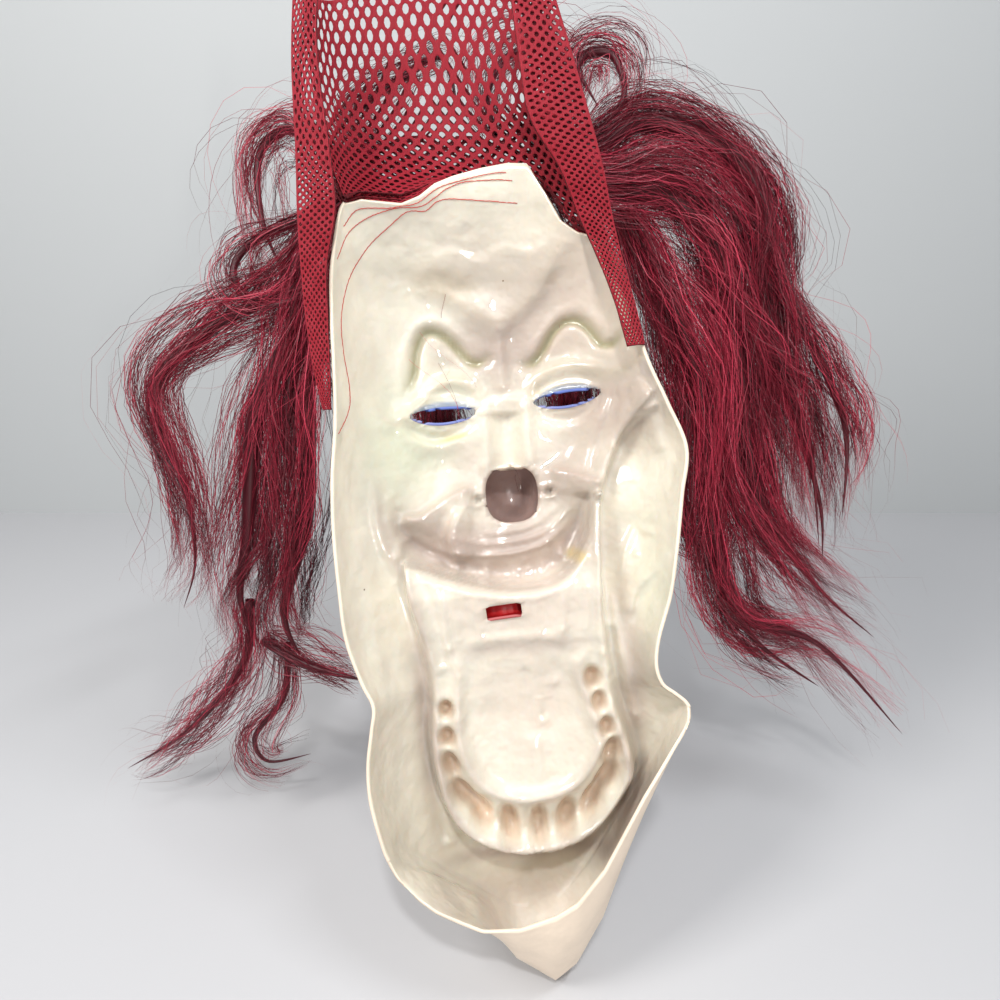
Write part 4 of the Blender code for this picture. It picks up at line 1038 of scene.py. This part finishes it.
wig = {
    "seed": 5, "points": 22, "width": 0.38, "density": 16.0, "children": 8.0, "wave": 2.2, "wander": 9.0,
    "flyaways": 0.14, "core": 0.28, "curl": 5.5, "wanderLength": 300.8, "waveLength": 75.0,
    "curlLength": 170.0,
    "steps": 90, "spread": 0.78, "flat": 0.8, "drift": 20.0, "leastRoot": 12.0, "shrink": 0.6,
}
wigColours = {"dark": (0.030, 0.002, 0.005), "burgundy": (0.170, 0.010, 0.022),
              "crimson": (0.62, 0.045, 0.090)}


def hairMaterial():
    material, shader = newMaterial("wigHair", wigColours["burgundy"], 0.42)
    tone = addNode(material, "ShaderNodeAttribute", attribute_name="tone")
    ramp = addNode(material, "ShaderNodeValToRGB")
    ramp.color_ramp.elements[0].color = (*wigColours["dark"], 1.0)
    ramp.color_ramp.elements[1].color = (*wigColours["crimson"], 1.0)
    middle = ramp.color_ramp.elements.new(0.45)
    middle.color = (*wigColours["burgundy"], 1.0)
    join(material, tone, "Fac", ramp, "Fac")
    join(material, ramp, "Color", shader, "Base Color")
    shader.inputs["Specular IOR Level"].default_value = 0.35
    shader.inputs["Sheen Weight"].default_value = 0.08
    shader.inputs["Sheen Tint"].default_value = (1.0, 0.4, 0.5, 1.0)
    return material


def along(rows, s):  # a table of points read at shares from 0 to 1
    at = np.clip(s, 0, 1) * (len(rows) - 1)
    low = np.minimum(at.astype(int), len(rows) - 2)
    t = (at - low)[..., None]
    return rows[low] * (1 - t) + rows[low + 1] * t


def waves(random, s, count, length, amplitude):  # a few slow sines with their own phases
    out = np.zeros(s.shape)
    for i in range(count):
        speed = (1 + i) * (0.7 + 0.6 * random.random((len(s), 1))) * 2 * math.pi * length
        out += amplitude / (1 + i) * np.sin(speed * s + 2 * math.pi * random.random((len(s), 1)))
    return out


def lockStrands(lock, random, density):
    root, body, tip, rows = lock
    steps = wig["steps"]
    path = spline(rows, steps)
    ahead = np.gradient(path, axis=0)
    ahead /= np.linalg.norm(ahead, axis=1, keepdims=True)
    out = np.cross(ahead, (0.0, 1.0, 0.02))
    out /= np.linalg.norm(out, axis=1, keepdims=True)
    up = np.cross(out, ahead)
    size = 0.5 * np.interp(np.linspace(0, 1, steps), (0, 0.3, 0.5, 1),
                           (max(root, wig["leastRoot"]), body, body, tip))
    length = np.linalg.norm(np.diff(path, axis=0), axis=1).sum()
    children = int(wig["children"] + body / 5)
    each = int(density * wig["density"] * (0.5 + body / 30) * min(1.4, 0.4 + length / 260))
    total = children * each
    child = np.repeat(np.arange(children), each)
    s0 = np.tile(np.linspace(0, 1, steps), (children, 1))
    turn = 2 * math.pi * random.random((children, 1))
    reach = np.sqrt(random.random((children, 1)))
    slow = length / wig["wanderLength"]
    wanderA = waves(random, s0, 2, slow, wig["wander"]) * np.clip(3 * s0, 0, 1)
    wanderB = waves(random, s0, 2, slow, wig["wander"]) * np.clip(3 * s0, 0, 1)
    childA = size * wig["spread"] * reach * np.cos(turn + 0.8 * s0) + wanderA
    childB = size * wig["spread"] * reach * np.sin(turn + 0.8 * s0) + wanderB
    childEnd = 0.80 + 0.20 * random.random(children)
    childTone = 0.16 * random.standard_normal(children)
    thick = (0.34 + 0.16 * random.random((children, 1))) * (1.05 - 0.75 * s0 ** 1.5) * size + 0.8
    begin = 0.08 * random.random(total)
    end = childEnd[child] - 0.22 * random.random(total) ** 2
    fly = random.random(total) < wig["flyaways"]
    end = np.where(fly, np.minimum(1.0, end + 0.05), end)
    s = begin[:, None] + (end - begin)[:, None] * np.linspace(0, 1, wig["points"])[None, :]
    at = s * (steps - 1)
    low = np.minimum(at.astype(int), steps - 2)
    t = at - low
    row = child[:, None]
    own = 2 * math.pi * random.random((total, 1))
    ownReach = np.sqrt(random.random((total, 1)))
    width = thick[row, low] * (1 - t) + thick[row, low + 1] * t
    a = childA[row, low] * (1 - t) + childA[row, low + 1] * t + width * ownReach * np.cos(own)
    b = childB[row, low] * (1 - t) + childB[row, low + 1] * t + width * ownReach * np.sin(own)
    free = np.clip(4 * (s - begin[:, None]), 0, 1)
    loose, held = wig["curl"] * free * fly[:, None], free * ~fly[:, None]
    for offset in (a, b):
        offset += held * waves(random, s, 2, length / wig["waveLength"], wig["wave"])
        offset += loose * waves(random, s, 2, length / wig["curlLength"], wig["wave"])
    drift = np.where(fly[:, None], 1.0, 0.0) * (s - begin[:, None]) ** 1.3 * wig["drift"]
    places = (along(path, s) + (a + drift * np.cos(own))[..., None] * along(out, s)
              + wig["flat"] * (b + drift * np.sin(own))[..., None] * along(up, s))
    spin = 2 * math.pi * random.random((total, 1)) + 2.5 * s
    wide = np.cos(spin)[..., None] * along(out, s) + np.sin(spin)[..., None] * along(up, s)
    taper = wig["width"] * (0.6 + 0.4 * random.random((total, 1)))
    taper = taper * np.clip(6 * (1 - np.linspace(0, 1, wig["points"])), 0.25, 1)
    taper = taper * np.where(fly[:, None], wig["shrink"], 1.0)
    edge = 0.5 * taper[..., None] * wide
    sides = np.stack([places - edge, places + edge], axis=2)
    # Strands nearer the middle of their clump get a darker tone: painted shade. The rest of the tone varies
    # at random.
    tone = (0.42 + childTone[child][:, None] + 0.17 * random.standard_normal((total, 1))
            + 0.10 * (ownReach - 0.5) + 0.06 * np.sin(9 * s + own))
    base = (np.arange(total) * wig["points"] * 2)[:, None] + 2 * np.arange(wig["points"] - 1)[None, :]
    quads = np.stack([base, base + 1, base + 3, base + 2], axis=-1).reshape(-1, 4)
    return placed(sides.reshape(-1, 3)), quads, np.repeat(np.clip(tone, 0, 1).ravel(), 2)


def lockCore(lock):  # a dark body under the strands, painted shade inside the lock
    root, body, tip, rows = lock
    path = spline(rows, 6 * len(rows))
    share = np.linspace(0, 1, len(path))
    size = 0.5 * wig["core"] * np.interp(share, (0, 0.3, 0.5, 0.85, 1), (root, body, body, 0.7 * tip, 0.5))
    points, quads = tubeArrays(placed(path), size * faceFrame["mm"], 8)
    # Its low tone is painted shade.
    return points, quads, np.full(len(points), 0.10)


def wigPiece(name, locks, seed, density, nodes):
    random = np.random.default_rng(seed)
    points, quads, tones, start = [], [], [], 0
    for lock in locks:
        for co, faces, tone in (lockStrands(lock, random, density), lockCore(lock)):
            points.append(co)
            quads.append(faces + start)
            tones.append(tone)
            start += len(co)
    co = np.concatenate(points)
    co[:, 2] = np.maximum(co[:, 2], floorHeight + 0.001)
    piece = pieceOf(name, co, np.concatenate(quads))
    layer = piece.data.attributes.new("tone", "FLOAT", "POINT")
    layer.data.foreach_set("value", np.concatenate(tones).astype(np.float32))
    smoothShade(piece)
    piece.data.materials.append(wigMaterial)
    fixed(piece, "wig_hair", *nodes)
    print(name, 2 * len(piece.data.polygons), "triangles")


floorHeight = -0.4956
wigMaterial = hairMaterial()
wigPiece("wigLeft", locksLeft, wig["seed"], 1.0, ["wig_left"])
wigPiece("wigRight", locksRight[:3] + locksRight[8:], wig["seed"] + 1, 1.1, ["wig_right"])
wigPiece("wigRightLow", locksRight[3:8], wig["seed"] + 3, 1.1, ["wig_right"])

# Table, wall, light and camera.
room = {"wallDepth": 0.505, "table": (0.53, 0.53, 0.545), "wall": (0.52, 0.535, 0.54), "across": 6.0}


def roomPiece(name, colour, scale):
    bpy.ops.object.select_all(action="DESELECT")
    bpy.ops.mesh.primitive_plane_add(size=room["across"])
    piece = bpy.context.active_object
    piece.name = name
    material, shader = newMaterial(name, colour, 0.6)
    place = addNode(material, "ShaderNodeTexCoord")
    grain = addNode(material, "ShaderNodeTexNoise", Scale=scale, Detail=5.0)
    join(material, place, "Object", grain, "Vector")
    bump = addNode(material, "ShaderNodeBump", Strength=0.08)
    bump.inputs["Distance"].default_value = 0.001
    join(material, grain, "Fac", bump, "Height")
    join(material, bump, "Normal", shader, "Normal")
    piece.data.materials.append(material)
    return piece


table = roomPiece("tableTop", room["table"], 60.0)
table.location = (0, room["wallDepth"] - room["across"] / 2, floorHeight)
wall = roomPiece("backWall", room["wall"], 12.0)
wall.rotation_euler = (math.radians(90), 0, 0)
wall.location = (0, room["wallDepth"], 0)

lights = {
    "window": {"place": (-0.60, -0.55, 0.60), "aim": (0.08, 0.0, -0.25), "size": (0.35, 0.5), "power": 10.5,
               "colour": (1.0, 0.98, 0.95)},
    "pane": {"place": (0.10, -0.70, 0.55), "aim": (0.08, 0.0, -0.25), "size": (0.07, 0.055), "power": 5.0,
             "colour": (1.0, 1.0, 1.0)},
    "ceiling": {"place": (0.55, -0.35, 0.85), "aim": (0.1, 0.0, -0.25), "size": (0.4, 0.04), "power": 5.5,
                "colour": (0.96, 0.98, 1.0)},
    "lamp": {"place": (0.35, -0.85, -0.05), "aim": (0.1, 0.0, -0.3), "size": (0.03, 0.16), "power": 1.8,
             "colour": (1.0, 0.97, 0.92)},
}
for name, light in lights.items():
    data = bpy.data.lights.new(name, "AREA")
    data.shape = "RECTANGLE"
    data.size = light["size"][0]
    data.size_y = light["size"][1]
    data.energy = light["power"]
    data.color = light["colour"]
    lamp = bpy.data.objects.new(name, data)
    bpy.context.scene.collection.objects.link(lamp)
    lamp.location = light["place"]
    lamp.rotation_euler = (Vector(light["aim"]) - Vector(light["place"])).to_track_quat("-Z",
                                                                                        "Y").to_euler()

sky = {"colour": (0.82, 0.85, 0.88), "strength": 0.44}
world = bpy.data.worlds.new("softRoom")
world.use_nodes = True
world.node_tree.nodes["Background"].inputs["Color"].default_value = (*sky["colour"], 1.0)
world.node_tree.nodes["Background"].inputs["Strength"].default_value = sky["strength"]
bpy.context.scene.world = world
bpy.context.scene.view_settings.view_transform = "Standard"

view = {"place": (0.09178, -0.43326, -0.09799), "down": 22.0, "lens": 27.0, "sensor": 36.0, "near": 0.01}
cameraData = bpy.data.cameras.new("camera")
cameraData.lens = view["lens"]
cameraData.sensor_width = view["sensor"]
cameraData.clip_start = view["near"]
camera = bpy.data.objects.new("camera", cameraData)
bpy.context.scene.collection.objects.link(camera)
camera.location = view["place"]
camera.rotation_euler = (math.radians(90 - view["down"]), 0, 0)
bpy.context.scene.camera = camera
print("stage, light and camera done")
